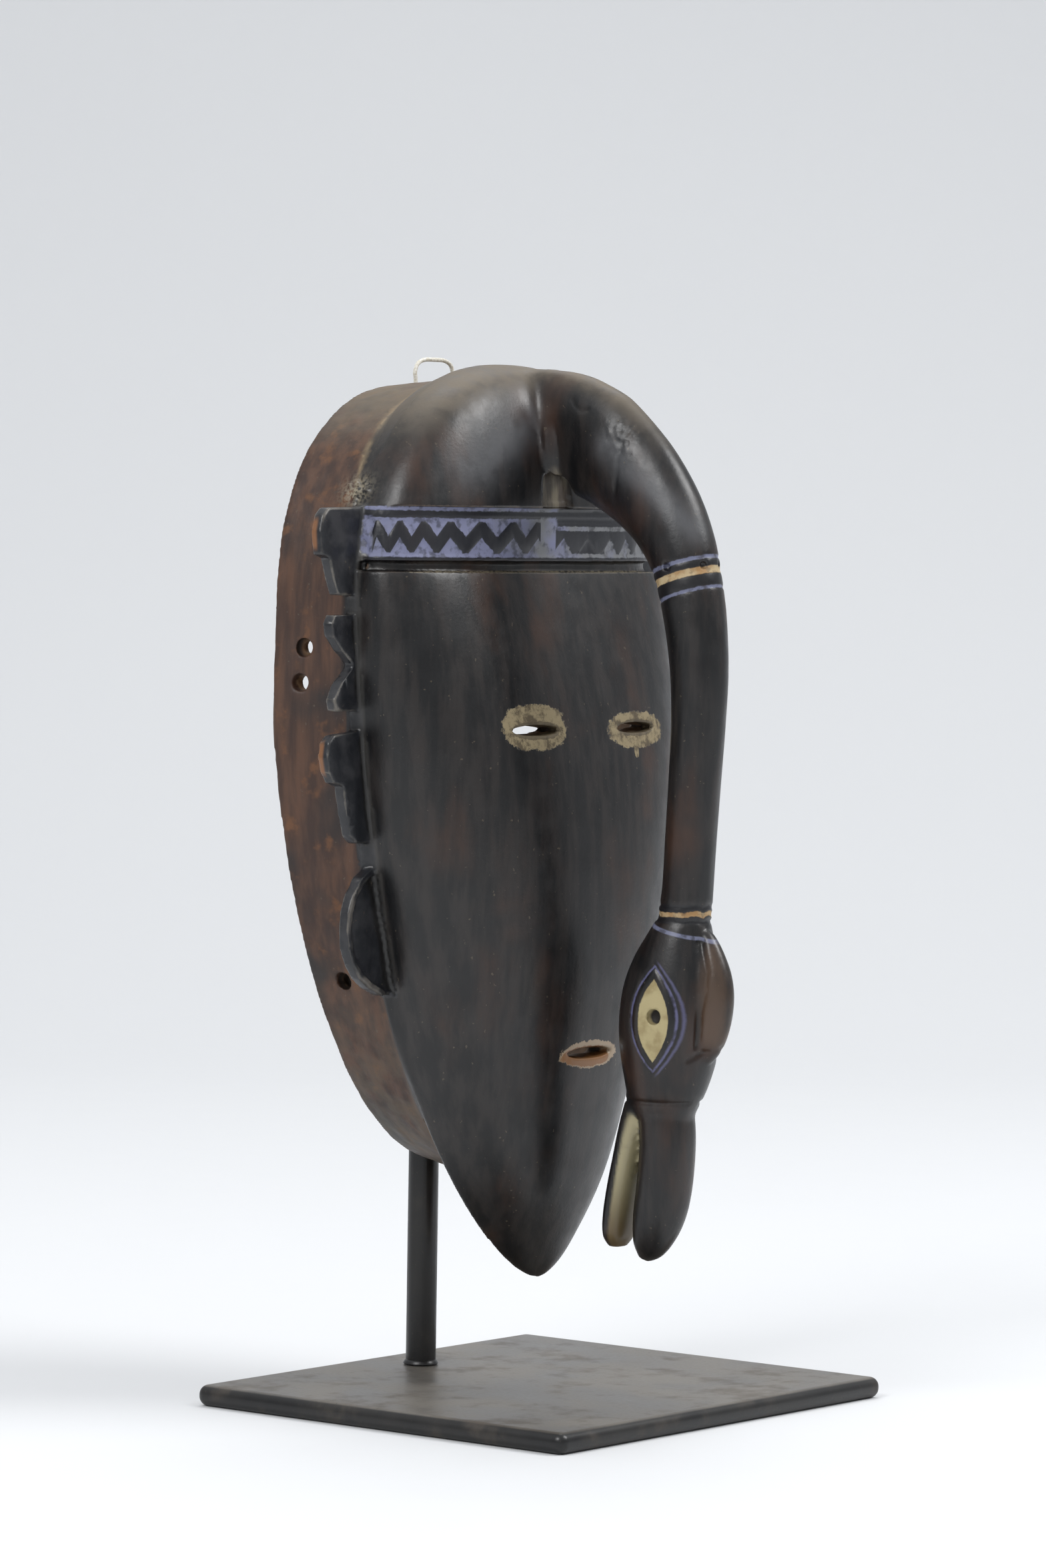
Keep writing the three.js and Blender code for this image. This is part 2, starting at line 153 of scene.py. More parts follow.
def rolled_sheet(name, across, along, place):
    bpy.ops.mesh.primitive_grid_add(x_subdivisions=across, y_subdivisions=along, size=1)
    piece = bpy.context.object
    piece.name = name
    flat = corners_of(piece)
    x, y, z = place(flat[:, 0] + 0.5, flat[:, 1] + 0.5)
    move_corners(piece, np.stack([x, y, z], axis=1) * MM)
    return close_sheet(piece)


# %% [markdown]
# ## The mask's outlines
# Seen from the front, the open rim, the edge of the face and the headdress are all ovals that
# are squarer above than below. Each is kept as a few measures in millimetres: half its width,
# the level where it is widest, its top and bottom, and how square it is above and below. The
# whole mask leans back a little with height.

# %% Outlines
LEAN = 0.0387
EYE_LEVEL = 256
RIM = {"half": 90.5, "middle": 262, "top": 385, "bottom": 89, "up": 2.7, "down": 1.85}
EDGE = {"half": 85.5, "middle": 300, "top": 388.5, "bottom": 83, "up": 2.2, "down": 2.2}
FRONT = {"half": 85.5, "middle": 300, "top": 386, "bottom": 47.6, "up": 2.2, "down": 1.75}
CAP = {"half": 86.5, "middle": 290, "top": 393, "bottom": 200, "up": 2.25, "down": 2.4}


def lean(z):
    return LEAN * (z - EYE_LEVEL)


def shape_of(oval, above):
    """How square the oval is there, and how far it reaches up or down."""
    square = np.where(above, oval["up"], oval["down"])
    reach = np.where(above, oval["top"] - oval["middle"], oval["middle"] - oval["bottom"])
    return square, reach


def on_outline(oval, turn, scale=1.0):
    side, rise = np.cos(turn), np.sin(turn)
    square, reach = shape_of(oval, rise >= 0)
    x = scale * oval["half"] * signed_power(side, 2 / square)
    return x, oval["middle"] + scale * reach * signed_power(rise, 2 / square)


def fullness(oval, x, z):
    """0 in the oval's middle, 1 on its line and more outside."""
    square, reach = shape_of(oval, z >= oval["middle"])
    level = np.abs(z - oval["middle"]) / reach
    return (level**square + (np.abs(x) / oval["half"]) ** square) ** (1 / square)


def half_width(oval, z):
    square, reach = shape_of(oval, z >= oval["middle"])
    level = np.clip(np.abs(z - oval["middle"]) / reach, 0, 1)
    return oval["half"] * (1 - level**square) ** (1 / square)


def drawn_in(oval, by, by_top=None, by_bottom=None):
    by_top = by if by_top is None else by_top
    by_bottom = by if by_bottom is None else by_bottom
    ends = {"top": oval["top"] - by_top, "bottom": oval["bottom"] + by_bottom}
    return {**oval, "half": oval["half"] - by, **ends}


# %% A form made of ovals, one behind the other
def stacked(rows):
    """Each row is an oval, the rule for its depth, and its scale."""

    def place(u, v):
        row_of = np.rint(v * (len(rows) - 1)).astype(int)
        x, y, z = np.zeros_like(u), np.zeros_like(u), np.zeros_like(u)
        for number, (oval, depth, scale) in enumerate(rows):
            here = row_of == number
            x[here], z[here] = on_outline(oval, 2 * np.pi * u[here], scale)
            y[here] = depth(x[here], z[here])
        return x, y, z

    return place


def dome_rows(oval, depth, steps):
    return [(oval, depth, math.sin(0.5 * math.pi * k / steps)) for k in range(steps, -1, -1)]


def stacked_form(name, rows, around=200):
    return rolled_sheet(name, around, len(rows) - 1, stacked(rows))


# %% [markdown]
# ## The face
# The face is one long smooth shield. Its profile is an arc, its cross-section goes from square
# and flat at the brow to round at the chin, and the chin ends in a blunt point. The shield is
# cut off level at the brow with bisect, as a saw would.

# %% The face's surface
WIDEST_Y = 24
CHIN_TIP_Y = 4.2
CHIN_CURL_LEVEL = 110
PROFILE_RADIUS = 376
PROFILE_MIDDLE = 187
PROFILE_BULGE = 27
PROFILE_CHORD_Y = 3
CHIN_BULGE = {"depth": 3, "level": 85, "spread": 30}
SQUARE_AT_CHIN = 2.25
SQUARE_AT_BROW = 2.8
FACE_TOP = 314.5


def widest_y(z):
    curl = np.maximum(0, (CHIN_CURL_LEVEL - z) / (CHIN_CURL_LEVEL - FRONT["bottom"]))
    at_tip = WIDEST_Y + lean(FRONT["bottom"]) - CHIN_TIP_Y
    return WIDEST_Y + lean(z) - at_tip * curl**1.5


def profile_y(z):
    rise = np.sqrt(PROFILE_RADIUS**2 - (z - PROFILE_MIDDLE) ** 2)
    chin = np.exp(-(((z - CHIN_BULGE["level"]) / CHIN_BULGE["spread"]) ** 2))
    return PROFILE_CHORD_Y - (rise - PROFILE_RADIUS + PROFILE_BULGE) - CHIN_BULGE["depth"] * chin


def face_y(x, z, back_off=0):
    half = np.maximum(1e-3, half_width(FRONT, z) - back_off)
    square = mix(SQUARE_AT_CHIN, SQUARE_AT_BROW, smooth(140, 305, z))
    across = np.clip(np.abs(x) / half, 0, 1)
    start = widest_y(z)
    depth = np.maximum(0, start - profile_y(z) - back_off)
    return start - depth * (1 - across**square) ** (1 / square)


# %% Roll up the face
EDGE_Y = 28.5
OVERLAP = 8


def edge_y(z):
    return EDGE_Y + lean(z)


def behind_edge(x, z):
    return edge_y(z) + OVERLAP


face_back = drawn_in(EDGE, 3)
face_rows = [(face_back, behind_edge, 0.0), (face_back, behind_edge, 1.0)]
face_rows.append((EDGE, lambda x, z: edge_y(z), 1.0))
face = stacked_form("face", face_rows + dome_rows(FRONT, face_y, 44))


# %% Saw a form off level
def saw_level(piece, z, keep_above):
    pick_up(piece)
    bpy.ops.object.mode_set(mode="EDIT")
    bpy.ops.mesh.select_all(action="SELECT")
    bpy.ops.mesh.bisect(
        plane_co=(0, 0, z * MM),
        plane_no=(0, 0, 1),
        use_fill=True,
        clear_inner=keep_above,
        clear_outer=not keep_above,
        threshold=1e-7,
    )
    bpy.ops.object.mode_set(mode="OBJECT")
    put_down()


saw_level(face, FACE_TOP, keep_above=False)
print("face", len(face.data.polygons), "faces")

# %% [markdown]
# ## The headdress and its band
# Above the brow comes a sunk strip, then a band that is carved with zigzags, then two smooth
# lobes. Band and strip are bent slabs: the long edge of the sheet runs round the front from
# one temple to the other, and back again inside the wood.

# %% The lobes
LOBE_FRONT_Y = -2
LOBE_SIDE_Y = 29
LOBE_REAR_Y = 39
LOBE_FULLNESS = 3.2
BAND_BOTTOM = 318.5
BAND_TOP = 338.5


def lobe_y(x, z):
    radius = np.clip(fullness(CAP, x, z), 0, 1)
    dome = (1 - radius**LOBE_FULLNESS) ** (1 / LOBE_FULLNESS)
    return LOBE_SIDE_Y - (LOBE_SIDE_Y - LOBE_FRONT_Y) * dome


def lobe_rear(x, z):
    return np.full_like(x, LOBE_REAR_Y)


lobe_rows = [(drawn_in(CAP, 6, 7), lambda x, z: lobe_rear(x, z) + 2, s) for s in (0.0, 1.0)]
lobe_rows.append((drawn_in(CAP, 3.5), lobe_rear, 1.0))
lobes = stacked_form("lobes", lobe_rows + dome_rows(CAP, lobe_y, 40))
saw_level(lobes, BAND_TOP, keep_above=True)

# %% The band and the sunk strip
BAND_FULLNESS = 2.8
BAND_TAPER = 0.16
BAND_HALF = CAP["half"] - 3.5
BAND_FRONT_Y = 1.8
BAND_WIDEN = 0.6
STRIP_FRONT_Y = 4.2
STRIP_WIDEN = -1
STRIP_BOTTOM = 300
FRONT_SHARE = 0.8
END_INSET = 2.6
LID_Y = 24


def band_half(z, widen):
    return BAND_HALF + widen - BAND_TAPER * np.maximum(0, z - BAND_BOTTOM)


def band_y(x, z, front_y=BAND_FRONT_Y, widen=BAND_WIDEN):
    across = np.clip(np.abs(x) / band_half(z, widen), 0, 1)
    forward = (1 - across**BAND_FULLNESS) ** (1 / BAND_FULLNESS)
    return LOBE_SIDE_Y - (LOBE_SIDE_Y - front_y) * forward


def bent_slab(name, front_y, widen, bottom, top):
    def place(u, v):
        z = np.where(v < 0.5, bottom, top).astype(float)
        half = band_half(z, widen)
        turn = np.pi * np.clip(u / FRONT_SHARE, 0, 1)
        x = half * signed_power(np.cos(turn), 2 / BAND_FULLNESS)
        y = band_y(x, z, front_y, widen)
        inside = (u > 0.805) & (u < 0.995)
        x = np.where(inside, mix(-half + END_INSET, half - END_INSET, (u - FRONT_SHARE) / 0.2), x)
        y = np.where(inside, EDGE_Y + OVERLAP, y)
        x, y = np.where(u >= 0.995, half, x), np.where(u >= 0.995, LOBE_SIDE_Y, y)
        lid = (v < 0.1) | (v > 0.9)
        return np.where(lid, 0, x), np.where(lid, LID_Y, y), z

    return rolled_sheet(name, 150, 3, place)


strip = bent_slab("sunk_strip", STRIP_FRONT_Y, STRIP_WIDEN, STRIP_BOTTOM, BAND_TOP + 1)
band = bent_slab("band", BAND_FRONT_Y, BAND_WIDEN, BAND_BOTTOM, BAND_TOP)
print("band runs from x", -BAND_HALF, "to", BAND_HALF)

# %% [markdown]
# ## The collar
# Behind the face a plain wall of wood runs back to the open rim. It is one more stack of
# ovals, from just behind the face's edge to the rim.

# %% The collar
RIM_Y = 61


def rim_y(x, z):
    return RIM_Y + lean(z)


def collar_front(x, z):
    return edge_y(z) - 5


collar_rows = [(RIM, rim_y, 0.0), (RIM, rim_y, 1.0)]
collar_rows.append((drawn_in(EDGE, 0.9), lambda x, z: edge_y(z) + 2, 1.0))
collar_rows += [(drawn_in(EDGE, 7), collar_front, scale) for scale in (1.0, 0.0)]
collar = stacked_form("collar", collar_rows)

# %% [markdown]
# ## The side wings
# Flat tabs stand out from the edge of the face, with a half-moon ear below. Each is drawn as
# a filled outline and extruded back by its thickness. One side is drawn, and the other is the
# same outline with its x turned round, so each wing has its own mesh.

# %% Outlines of the wings
WING_FRONT_Y = 25
WING_THICKNESS = 4.6
EAR_CURVE = [
    (76, 205.6), (84, 201), (89, 195), (91.8, 188.5), (92.6, 182), (92, 175), (90, 169),
    (86, 164), (80, 160), (73, 156.8),
]
WINGS = {
    "upper": [
        (70, 338.5), (70, 305.5), (94.8, 305.5), (97.5, 312), (99.8, 319.2), (104, 320.5),
        (104.5, 329), (102.5, 335), (99.5, 337.5),
    ],
    "notched": [
        (70, 298.6), (70, 263), (97, 263), (98.2, 267), (93.5, 273.5), (86.5, 279.5),
        (93, 285), (98.2, 290.5), (98.8, 295), (97, 298.2),
    ],
    "lower": [
        (70, 256.5), (70, 214), (86.5, 214), (90, 216.5), (92.2, 225), (93.6, 235),
        (99, 236.5), (101.8, 240.5), (102.6, 246), (101.5, 251.5), (98.5, 254),
    ],
    "ear": EAR_CURVE + [(62, 158), (68, 203)],
}


def wing(name, outline, side):
    bpy.ops.mesh.primitive_circle_add(vertices=len(outline), fill_type="NGON", radius=1)
    plate = bpy.context.object
    plate.name = name
    for corner, (x, z) in zip(plate.data.vertices, outline):
        corner.co = Vector((side * x, WING_FRONT_Y + lean(z), z)) * MM
    bpy.ops.object.mode_set(mode="EDIT")
    bpy.ops.mesh.select_all(action="SELECT")
    shift = {"value": (0, WING_THICKNESS * MM, 0)}
    bpy.ops.mesh.extrude_region_move(TRANSFORM_OT_translate=shift)
    bpy.ops.mesh.select_all(action="SELECT")
    bpy.ops.mesh.normals_make_consistent(inside=False)
    bpy.ops.object.mode_set(mode="OBJECT")
    put_down()
    return plate


wings = [
    wing(f"wing_{name}_{side}", outline, side)
    for side in (-1, 1)
    for name, outline in WINGS.items()
]
print(len(wings), "wings")

# %% [markdown]
# ## The bird
# Neck, head, casque and the two halves of the beak are swept along the mask's middle plane. A
# station gives a place (y, z) and two half-widths: in that plane, and across it. A smooth curve
# through the stations gives the places between them.

# %% The bird's stations
NECK = [
    (20, 377, 13, 2.5), (11, 375.5, 17, 5), (2, 372.6, 20.4, 8.2), (-8.4, 368, 22.7, 10.8),
    (-18.6, 363.6, 22.2, 11.8), (-29.8, 356.8, 20.4, 12), (-41, 348.2, 18.3, 12),
    (-51.2, 337.3, 16, 12), (-58.4, 325.5, 14, 11.9), (-62.6, 313.9, 12.7, 11.6),
    (-66.2, 298, 11.9, 11.2), (-68.3, 279, 11.1, 10.6),
    (-68.3, 260, 10.2, 10.2), (-67.2, 240, 9.8, 9.8), (-65.8, 218, 9.6, 9.6),
    (-64.7, 198, 9.6, 9.6), (-63.6, 188, 10.2, 10),
]
HEAD = [
    (-64, 193, 8, 8), (-63.4, 186, 10.4, 10), (-62, 178, 13.6, 12.6), (-60, 168, 17.4, 15.2),
    (-58.4, 158, 19.6, 16.8), (-57.6, 147, 20.2, 17.2), (-57, 136, 19, 16.4),
    (-56, 126, 16.6, 14.4), (-54.5, 117, 13.4, 12), (-53, 111, 10, 9),
]
CASQUE = [
    (-66, 183, 3, 2), (-70, 178, 8, 5), (-71.5, 169, 12, 7.2), (-72, 159, 13.8, 8),
    (-71, 148, 13, 7.6), (-68.5, 139, 10.4, 6.2), (-66, 132, 5, 3),
]
UPPER_BEAK = [
    (-55, 122, 8, 8), (-56.6, 114, 9.6, 10.4), (-57.4, 105, 10, 10.4), (-57, 95, 10.4, 10),
    (-55.8, 84.5, 10.5, 9.6), (-54, 76, 10, 9), (-51.6, 68.5, 8.4, 7.6), (-49.2, 62.6, 6, 5.4),
    (-47.4, 59, 2.4, 2.4),
]
LOWER_BEAK = [
    (-48, 122, 7, 8), (-45.6, 113, 6.2, 9), (-42.8, 105, 5.2, 9), (-40.4, 96, 4.8, 8.8),
    (-37.8, 85, 4.8, 8.6), (-35.8, 74, 4.8, 8.2), (-35, 66.5, 4.2, 7.2), (-34.8, 62.4, 2.4, 4),
]


def along_stations(stations, spot):
    """The smooth curve through the stations, and its direction, at fractional stations."""
    table = np.array(stations, float)
    last = len(table) - 1
    first = np.minimum(spot.astype(int), last - 1)
    t = (spot - first)[:, None]
    a, b, c, d = (table[np.clip(first + k, 0, last)] for k in (-1, 0, 1, 2))
    bend, twist = 2 * a - 5 * b + 4 * c - d, 3 * b - a - 3 * c + d
    at = 0.5 * (2 * b + (c - a) * t + bend * t**2 + twist * t**3)
    way = 0.5 * ((c - a) + 2 * bend * t + 3 * twist * t**2)
    return at, np.arctan2(way[:, 1], way[:, 0])


def sweep(stations, along, square=2.0):
    def place(u, v):
        steps = np.rint(v * along)
        open_end = ((steps > 0) & (steps < along)).astype(float)
        spot = np.clip((steps - 1) / (along - 2), 0, 1) * (len(stations) - 1)
        at, way = along_stations(stations, spot)
        turn = 2 * np.pi * u
        out = open_end * at[:, 2] * signed_power(np.cos(turn), 2 / square)
        side = open_end * at[:, 3] * signed_power(np.sin(turn), 2 / square)
        return side, at[:, 0] - out * np.sin(way), at[:, 1] + out * np.cos(way)

    return place


def swept(name, stations, across, along, square=2.0):
    return rolled_sheet(name, across, along, sweep(stations, along, square))


bird = [
    swept("neck", NECK, 56, 120),
    swept("head", HEAD, 64, 64),
    swept("casque", CASQUE, 44, 48),
    swept("upper_beak", UPPER_BEAK, 48, 56, 2.2),
    swept("lower_beak", LOWER_BEAK, 48, 48, 2.6),
]
print("bird", [len(part.data.polygons) for part in bird], "faces")

# %% [markdown]
# ## The hollow and the holes
# The mask is carved out from behind, and the slits for eyes and mouth go right through. Small
# holes at the sides take the lacing. These forms are only cutters, and are gone afterwards.

# %% The hollow
WALL = 6
FACE_WALL = 10
HOLLOW = {**FRONT, "half": FRONT["half"] - FACE_WALL, "top": 372, "bottom": 104, "down": 2.0}
inner_rim = drawn_in(RIM, WALL, WALL, WALL + 2)
inner_edge = drawn_in(EDGE, WALL + 2, WALL + 2, 20)
BEHIND_BAND_Y = 18


def hollow_y(x, z):
    shell = face_y(x, np.minimum(z, 300), FACE_WALL) + 1
    return np.maximum(shell, mix(shell, BEHIND_BAND_Y, smooth(270, 335, z)))


hollow_rows = [(inner_rim, lambda x, z: rim_y(x, z) + 12, scale) for scale in (0.0, 1.0)]
hollow_rows.append((inner_rim, rim_y, 1.0))
hollow_rows.append((inner_edge, lambda x, z: edge_y(z) + 6, 1.0))
hollow = stacked_form("hollow", hollow_rows + dome_rows(HOLLOW, hollow_y, 24), 140)


# %% Slits and holes
def drill(radius, length, towards, centre, stretch=(1, 1)):
    bpy.ops.mesh.primitive_cylinder_add(vertices=36, radius=radius * MM, depth=length * MM)
    bit = bpy.context.object
    bit.scale = (stretch[0], stretch[1], 1)
    bit.rotation_mode = "QUATERNION"
    bit.rotation_quaternion = Vector(towards).to_track_quat("Z", "Y")
    bit.location = Vector(centre) * MM
    settle()
    return bit


EYE_X = 30.4
MOUTH_LEVEL = 134.3
EYE_SLIT = (25.5, 4.0)
MOUTH_SLIT = (26.5, 4.4)
SLIT_DEPTH = 44
SLIT_MIDDLE_Y = -13
LACING_HOLES = [(49.2, 285.6), (50.7, 272.6), (43.4, 161)]
LACING_RADIUS = 3.3
PUPIL = (-61.9, 151.3)
PUPIL_RADIUS = 2.5
NECK_PITS = [((12.4, -60.8, 317.6), (1, 0)), ((5.2, -74.4, 318.7), (0.38, -0.92))]
PIT_RADIUS = 1.5
LOOP_X = 11
LOOP_Y = 60.5
LOOP_HOLE_RADIUS = 1.6
slits = [(-EYE_X, EYE_LEVEL, EYE_SLIT), (EYE_X, EYE_LEVEL, EYE_SLIT), (0, MOUTH_LEVEL, MOUTH_SLIT)]
bits = [drill(0.5, SLIT_DEPTH, (0, 1, 0), (x, SLIT_MIDDLE_Y, z), size) for x, z, size in slits]
for side in (-1, 1):
    bits += [drill(LACING_RADIUS, 40, (1, 0, 0), (side * 82, y, z)) for y, z in LACING_HOLES]
    bits.append(drill(LOOP_HOLE_RADIUS, 24, (0, 0, 1), (side * LOOP_X, LOOP_Y, 384)))
    bits.append(drill(PUPIL_RADIUS, 7, (1, 0, 0), (side * 17.5, *PUPIL)))
    for (x, y, z), (sideways, forward) in NECK_PITS:
        bits.append(drill(PIT_RADIUS, 6, (side * sideways, forward, 0), (side * x, y, z)))
print(len(bits), "slits and holes")

# %% [markdown]
# ## The gap under the neck's root
# Below the parting's top the neck stands clear of the lobes. A cube is divided and shaped into
# a thin wedge: in front it follows the neck's underside, behind it lies on the lobes.

# %% Free the neck from the lobes
WEDGE_BOTTOM = 341
WEDGE_TOP = 377
WEDGE_FRONT_Y = (-10.5, 1.0)
PARTING_HALF = (8.5, 1.8)
bpy.ops.mesh.primitive_cube_add(size=1)
wedge = bpy.context.object
bpy.ops.object.mode_set(mode="EDIT")
bpy.ops.mesh.subdivide(number_cuts=11)
bpy.ops.object.mode_set(mode="OBJECT")
put_down()
across, back, up = (corners_of(wedge) + 0.5).T
wedge_z = mix(WEDGE_BOTTOM, WEDGE_TOP, up)
wedge_x = (across - 0.5) * 2 * mix(*PARTING_HALF, up)
wedge_y = mix(mix(*WEDGE_FRONT_Y, up), lobe_y(wedge_x, wedge_z) + 0.4, back)
move_corners(wedge, np.stack([wedge_x, wedge_y, wedge_z], axis=1) * MM)
bits.append(wedge)
print("wedge reaches back to y", round(float(wedge_y.max()), 1))

# %% [markdown]
# ## Joining everything into one block of wood
# The Boolean modifier joins the forms and takes the hollow away. It leaves hard creases where
# two forms meet, and hand carving has none. So a voxel remesh then gives the whole mask one
# even skin of small squares, and a Smooth modifier takes their grain off.

# %% Join and cut
def boolean(target, tool, operation):
    modifier = target.modifiers.new("join", "BOOLEAN")
    modifier.object = tool
    modifier.operation = operation
    modifier.solver = "MANIFOLD"
    bpy.context.view_layer.objects.active = target
    bpy.ops.object.modifier_apply(modifier=modifier.name)
    bpy.data.objects.remove(tool)


def apply_modifier(piece, kind, **settings):
    modifier = piece.modifiers.new(kind.lower(), kind)
    for key, value in settings.items():
        setattr(modifier, key, value)
    bpy.context.view_layer.objects.active = piece
    bpy.ops.object.modifier_apply(modifier=modifier.name)


mask = face
mask.name = "carved_mask"
for form in (strip, band, lobes, collar, *wings, *bird):
    boolean(mask, form, "UNION")
for form in (hollow, *bits):
    boolean(mask, form, "DIFFERENCE")
print("joined", len(mask.data.vertices), "corners")

# %% One even skin
SKIN_STEP = 0.95
mask.data.remesh_voxel_size = SKIN_STEP * MM
pick_up(mask)
bpy.ops.object.voxel_remesh()
bpy.ops.object.shade_smooth()
put_down()
apply_modifier(mask, "SMOOTH", factor=0.5, iterations=2)
print("skin", len(mask.data.polygons), "faces")

# %% [markdown]
# ## Which part of the carving is this?
# Fine carving and paint both need to know where they are. Each corner of the skin is asked
# which part it belongs to, from its place alone, and the answer is kept as a number from 0 to
# 1, so that one part can fade into the next.

# %% Parts of the skin
def front_y(x, z):
    """The front surface behind the bird, from chin to crown."""
    surface = np.where(z < FACE_TOP, face_y(x, z), band_y(x, z, STRIP_FRONT_Y, STRIP_WIDEN))
    surface = np.where(z > BAND_BOTTOM, band_y(x, z), surface)
    return np.where(z > BAND_TOP, lobe_y(x, z), surface)


def crease_y(z):
    """Where the headdress or the face's edge meets the collar."""
    above = np.interp(z, [330, 343, 358, 376], [32.4, 35.3, 38.5, 40])
    return np.where(z > 330, above, edge_y(z) + 1)


def parts_of_skin(places):
    x, y, z = places.T
    wide = np.abs(x)
    front = front_y(x, z)
    side = half_width(FRONT, z)
    depth = np.clip((y - edge_y(z)) / (RIM_Y - EDGE_Y), 0, 1)
    shell = mix(fullness(EDGE, x, z), fullness(RIM, x, z), depth)
    hollow_side = (y > edge_y(z)) & (shell < 0.965) & (y < rim_y(x, z) - 0.4)
    hollow_front = (y <= edge_y(z)) & (y > front + 4.5) & (wide < side - 4) & (z < 385)
    plate_y = WING_FRONT_Y + lean(z)
    parts = {
        "bird": smooth(0.5, 2.0, front - y) * (wide < 22),
        "inside": (hollow_side | hollow_front).astype(float),
        "collar": smooth(-0.5, 0.8, y - crease_y(z)),
        "wing": ((wide > side - 0.6) & (np.abs(y - plate_y - 2.3) < 3.6)) * (z > 156) * (z < 339.5),
    }
    parts["collar"] = parts["collar"] * (1 - parts["wing"]) * (1 - parts["inside"])
    return parts


places = corners_of(mask) / MM
parts = parts_of_skin(places)
print({name: int(part.sum()) for name, part in parts.items()})

# %% [markdown]
# ## Where the neck leaves the headdress
# The neck grows out of the parting. Close to the lobes it is thinner, so its flanks are drawn
# in towards the middle there. Above the parting the carver let neck and lobes flow into one,
# the chin's tip is blunt, and the beak leaves the head without a step. All three get many
# passes of Smooth, through a vertex group that says where and how much.

# %% Draw in the neck's root
ROOT_THINNESS = 0.6
SOFT_PASSES = 220
CHIN_SOFTNESS = 0.4
CHIN_LOWERED = 1.4
BEAK_ROOT_LEVEL = 117
BEAK_ROOT_SOFTNESS = 0.2


def drawn_to_middle(x, y, z, half=10, reach=28):
    wide = np.abs(x)
    amount = smooth(333, 341, z) * (1 - smooth(362, 381, z))
    amount = amount * smooth(-30, -12, y) * (1 - smooth(-6, 0, y))
    thin = mix(1.0, ROOT_THINNESS, amount)
    beside = thin * half + (wide - half) * (reach - thin * half) / (reach - half)
    wide = np.where(wide <= half, wide * thin, np.where(wide < reach, beside, wide))
    return np.sign(x) * wide


places[:, 0] = drawn_to_middle(*places.T)
move_corners(mask, places * MM)
crown = smooth(365, 378, places[:, 2]) * (1 - smooth(22, 34, places[:, 1]))
crown = crown * (1 - smooth(18, 30, np.abs(places[:, 0]))) * smooth(-34, -22, places[:, 1])
chin_tip = 1 - smooth(54, 66, places[:, 2])
chin_tip = chin_tip * (1 - parts["bird"])
beak_root = np.exp(-(((places[:, 2] - BEAK_ROOT_LEVEL) / 4) ** 2)) * parts["bird"]
softness = crown + CHIN_SOFTNESS * chin_tip + BEAK_ROOT_SOFTNESS * beak_root
soft = mask.vertex_groups.new(name="soft")
for level in range(1, 11):
    here = np.rint(softness * 10) == level
    soft.add(np.flatnonzero(here).tolist(), level / 10, "REPLACE")
apply_modifier(mask, "SMOOTH", factor=0.5, iterations=SOFT_PASSES, vertex_group="soft")
mask.vertex_groups.clear()
places = corners_of(mask) / MM
places[:, 2] -= CHIN_LOWERED * chin_tip
near_top = np.exp(-((places[:, 0] / 12) ** 2) - ((places[:, 1] - 10) / 7) ** 2)
places[:, 2] += near_top * smooth(374, 386, places[:, 2])
move_corners(mask, places * MM)
facing_out = corners_of(mask, "normal")
parts = parts_of_skin(places)

# %% [markdown]
# ## Fine carving
# A knife leaves long shallow waves, and the patterns are cut a fraction of a millimetre deep.
# A Displace modifier could do this from textures, but the cuts have exact places, so each
# corner is moved along its own normal instead. First come the tools: a wave, and the distance
# to a drawn line.

# %% Waves and drawn lines
def wave(points, size, seed, stretch=(1, 1, 1)):
    """A smooth unevenness between about -1 and 1, with humps of about this size."""
    draw = np.random.default_rng(seed)
    total = np.zeros(len(points))
    spread = points * np.array(stretch)
    for _ in range(14):
        way = draw.normal(size=3)
        way /= np.linalg.norm(way)
        pace = 2 * np.pi / (size * draw.uniform(0.7, 1.6))
        total += np.sin(spread @ way * pace + draw.uniform(0, 2 * np.pi))
    return total / 4


def line_distance(points, line, reach=6):
    """How far each point is from a drawn line, looked for only near the line."""
    line = np.array(line, float)
    near = np.all((points > line.min(0) - reach) & (points < line.max(0) + reach), axis=1)
    best = np.full(len(points), float(reach))
    here = points[near]
    found = np.full(len(here), float(reach))
    for a, b in zip(line[:-1], line[1:]):
        t = np.clip((here - a) @ (b - a) / ((b - a) @ (b - a)), 0, 1)[:, None]
        found = np.minimum(found, np.linalg.norm(here - a - t * (b - a), axis=1))
    best[near] = found
    return best


def groove(distance, half, depth):
    return -depth * np.exp(-((distance / half) ** 2))


# %% The parting between the lobes
PARTING_DEPTH = 2.4
LOBE_FLANK_Y = 24
FACES_FRONT = -0.2
x, y, z = places.T
wide = np.abs(x)
lobe_front = (z > BAND_TOP) & (y < LOBE_FLANK_Y) & (facing_out[:, 1] < FACES_FRONT)
lobe_front = lobe_front * (1 - parts["bird"]) * (1 - parts["inside"])
parting_half = mix(*PARTING_HALF, np.clip((z - 340) / 42, 0, 1))
parting = (1 - smooth(-0.9, 0.7, wide - parting_half)) * (1 - smooth(364, 378, z))
places[:, 1] += PARTING_DEPTH * parting * lobe_front
move_corners(mask, places * MM)
beside_parting = mask.vertex_groups.new(name="beside_parting")
here = (wide < parting_half + 4) & (z > BAND_TOP + 2) & (y < LOBE_FLANK_Y)
here = here & (parts["inside"] < 0.5)
beside_parting.add(np.flatnonzero(here).tolist(), 1.0, "REPLACE")
apply_modifier(mask, "SMOOTH", factor=0.5, iterations=9, vertex_group="beside_parting")
mask.vertex_groups.clear()
places = corners_of(mask) / MM
facing_out = corners_of(mask, "normal")
x, y, z = places.T
print("parting", int((parting * lobe_front > 0.5).sum()), "corners")

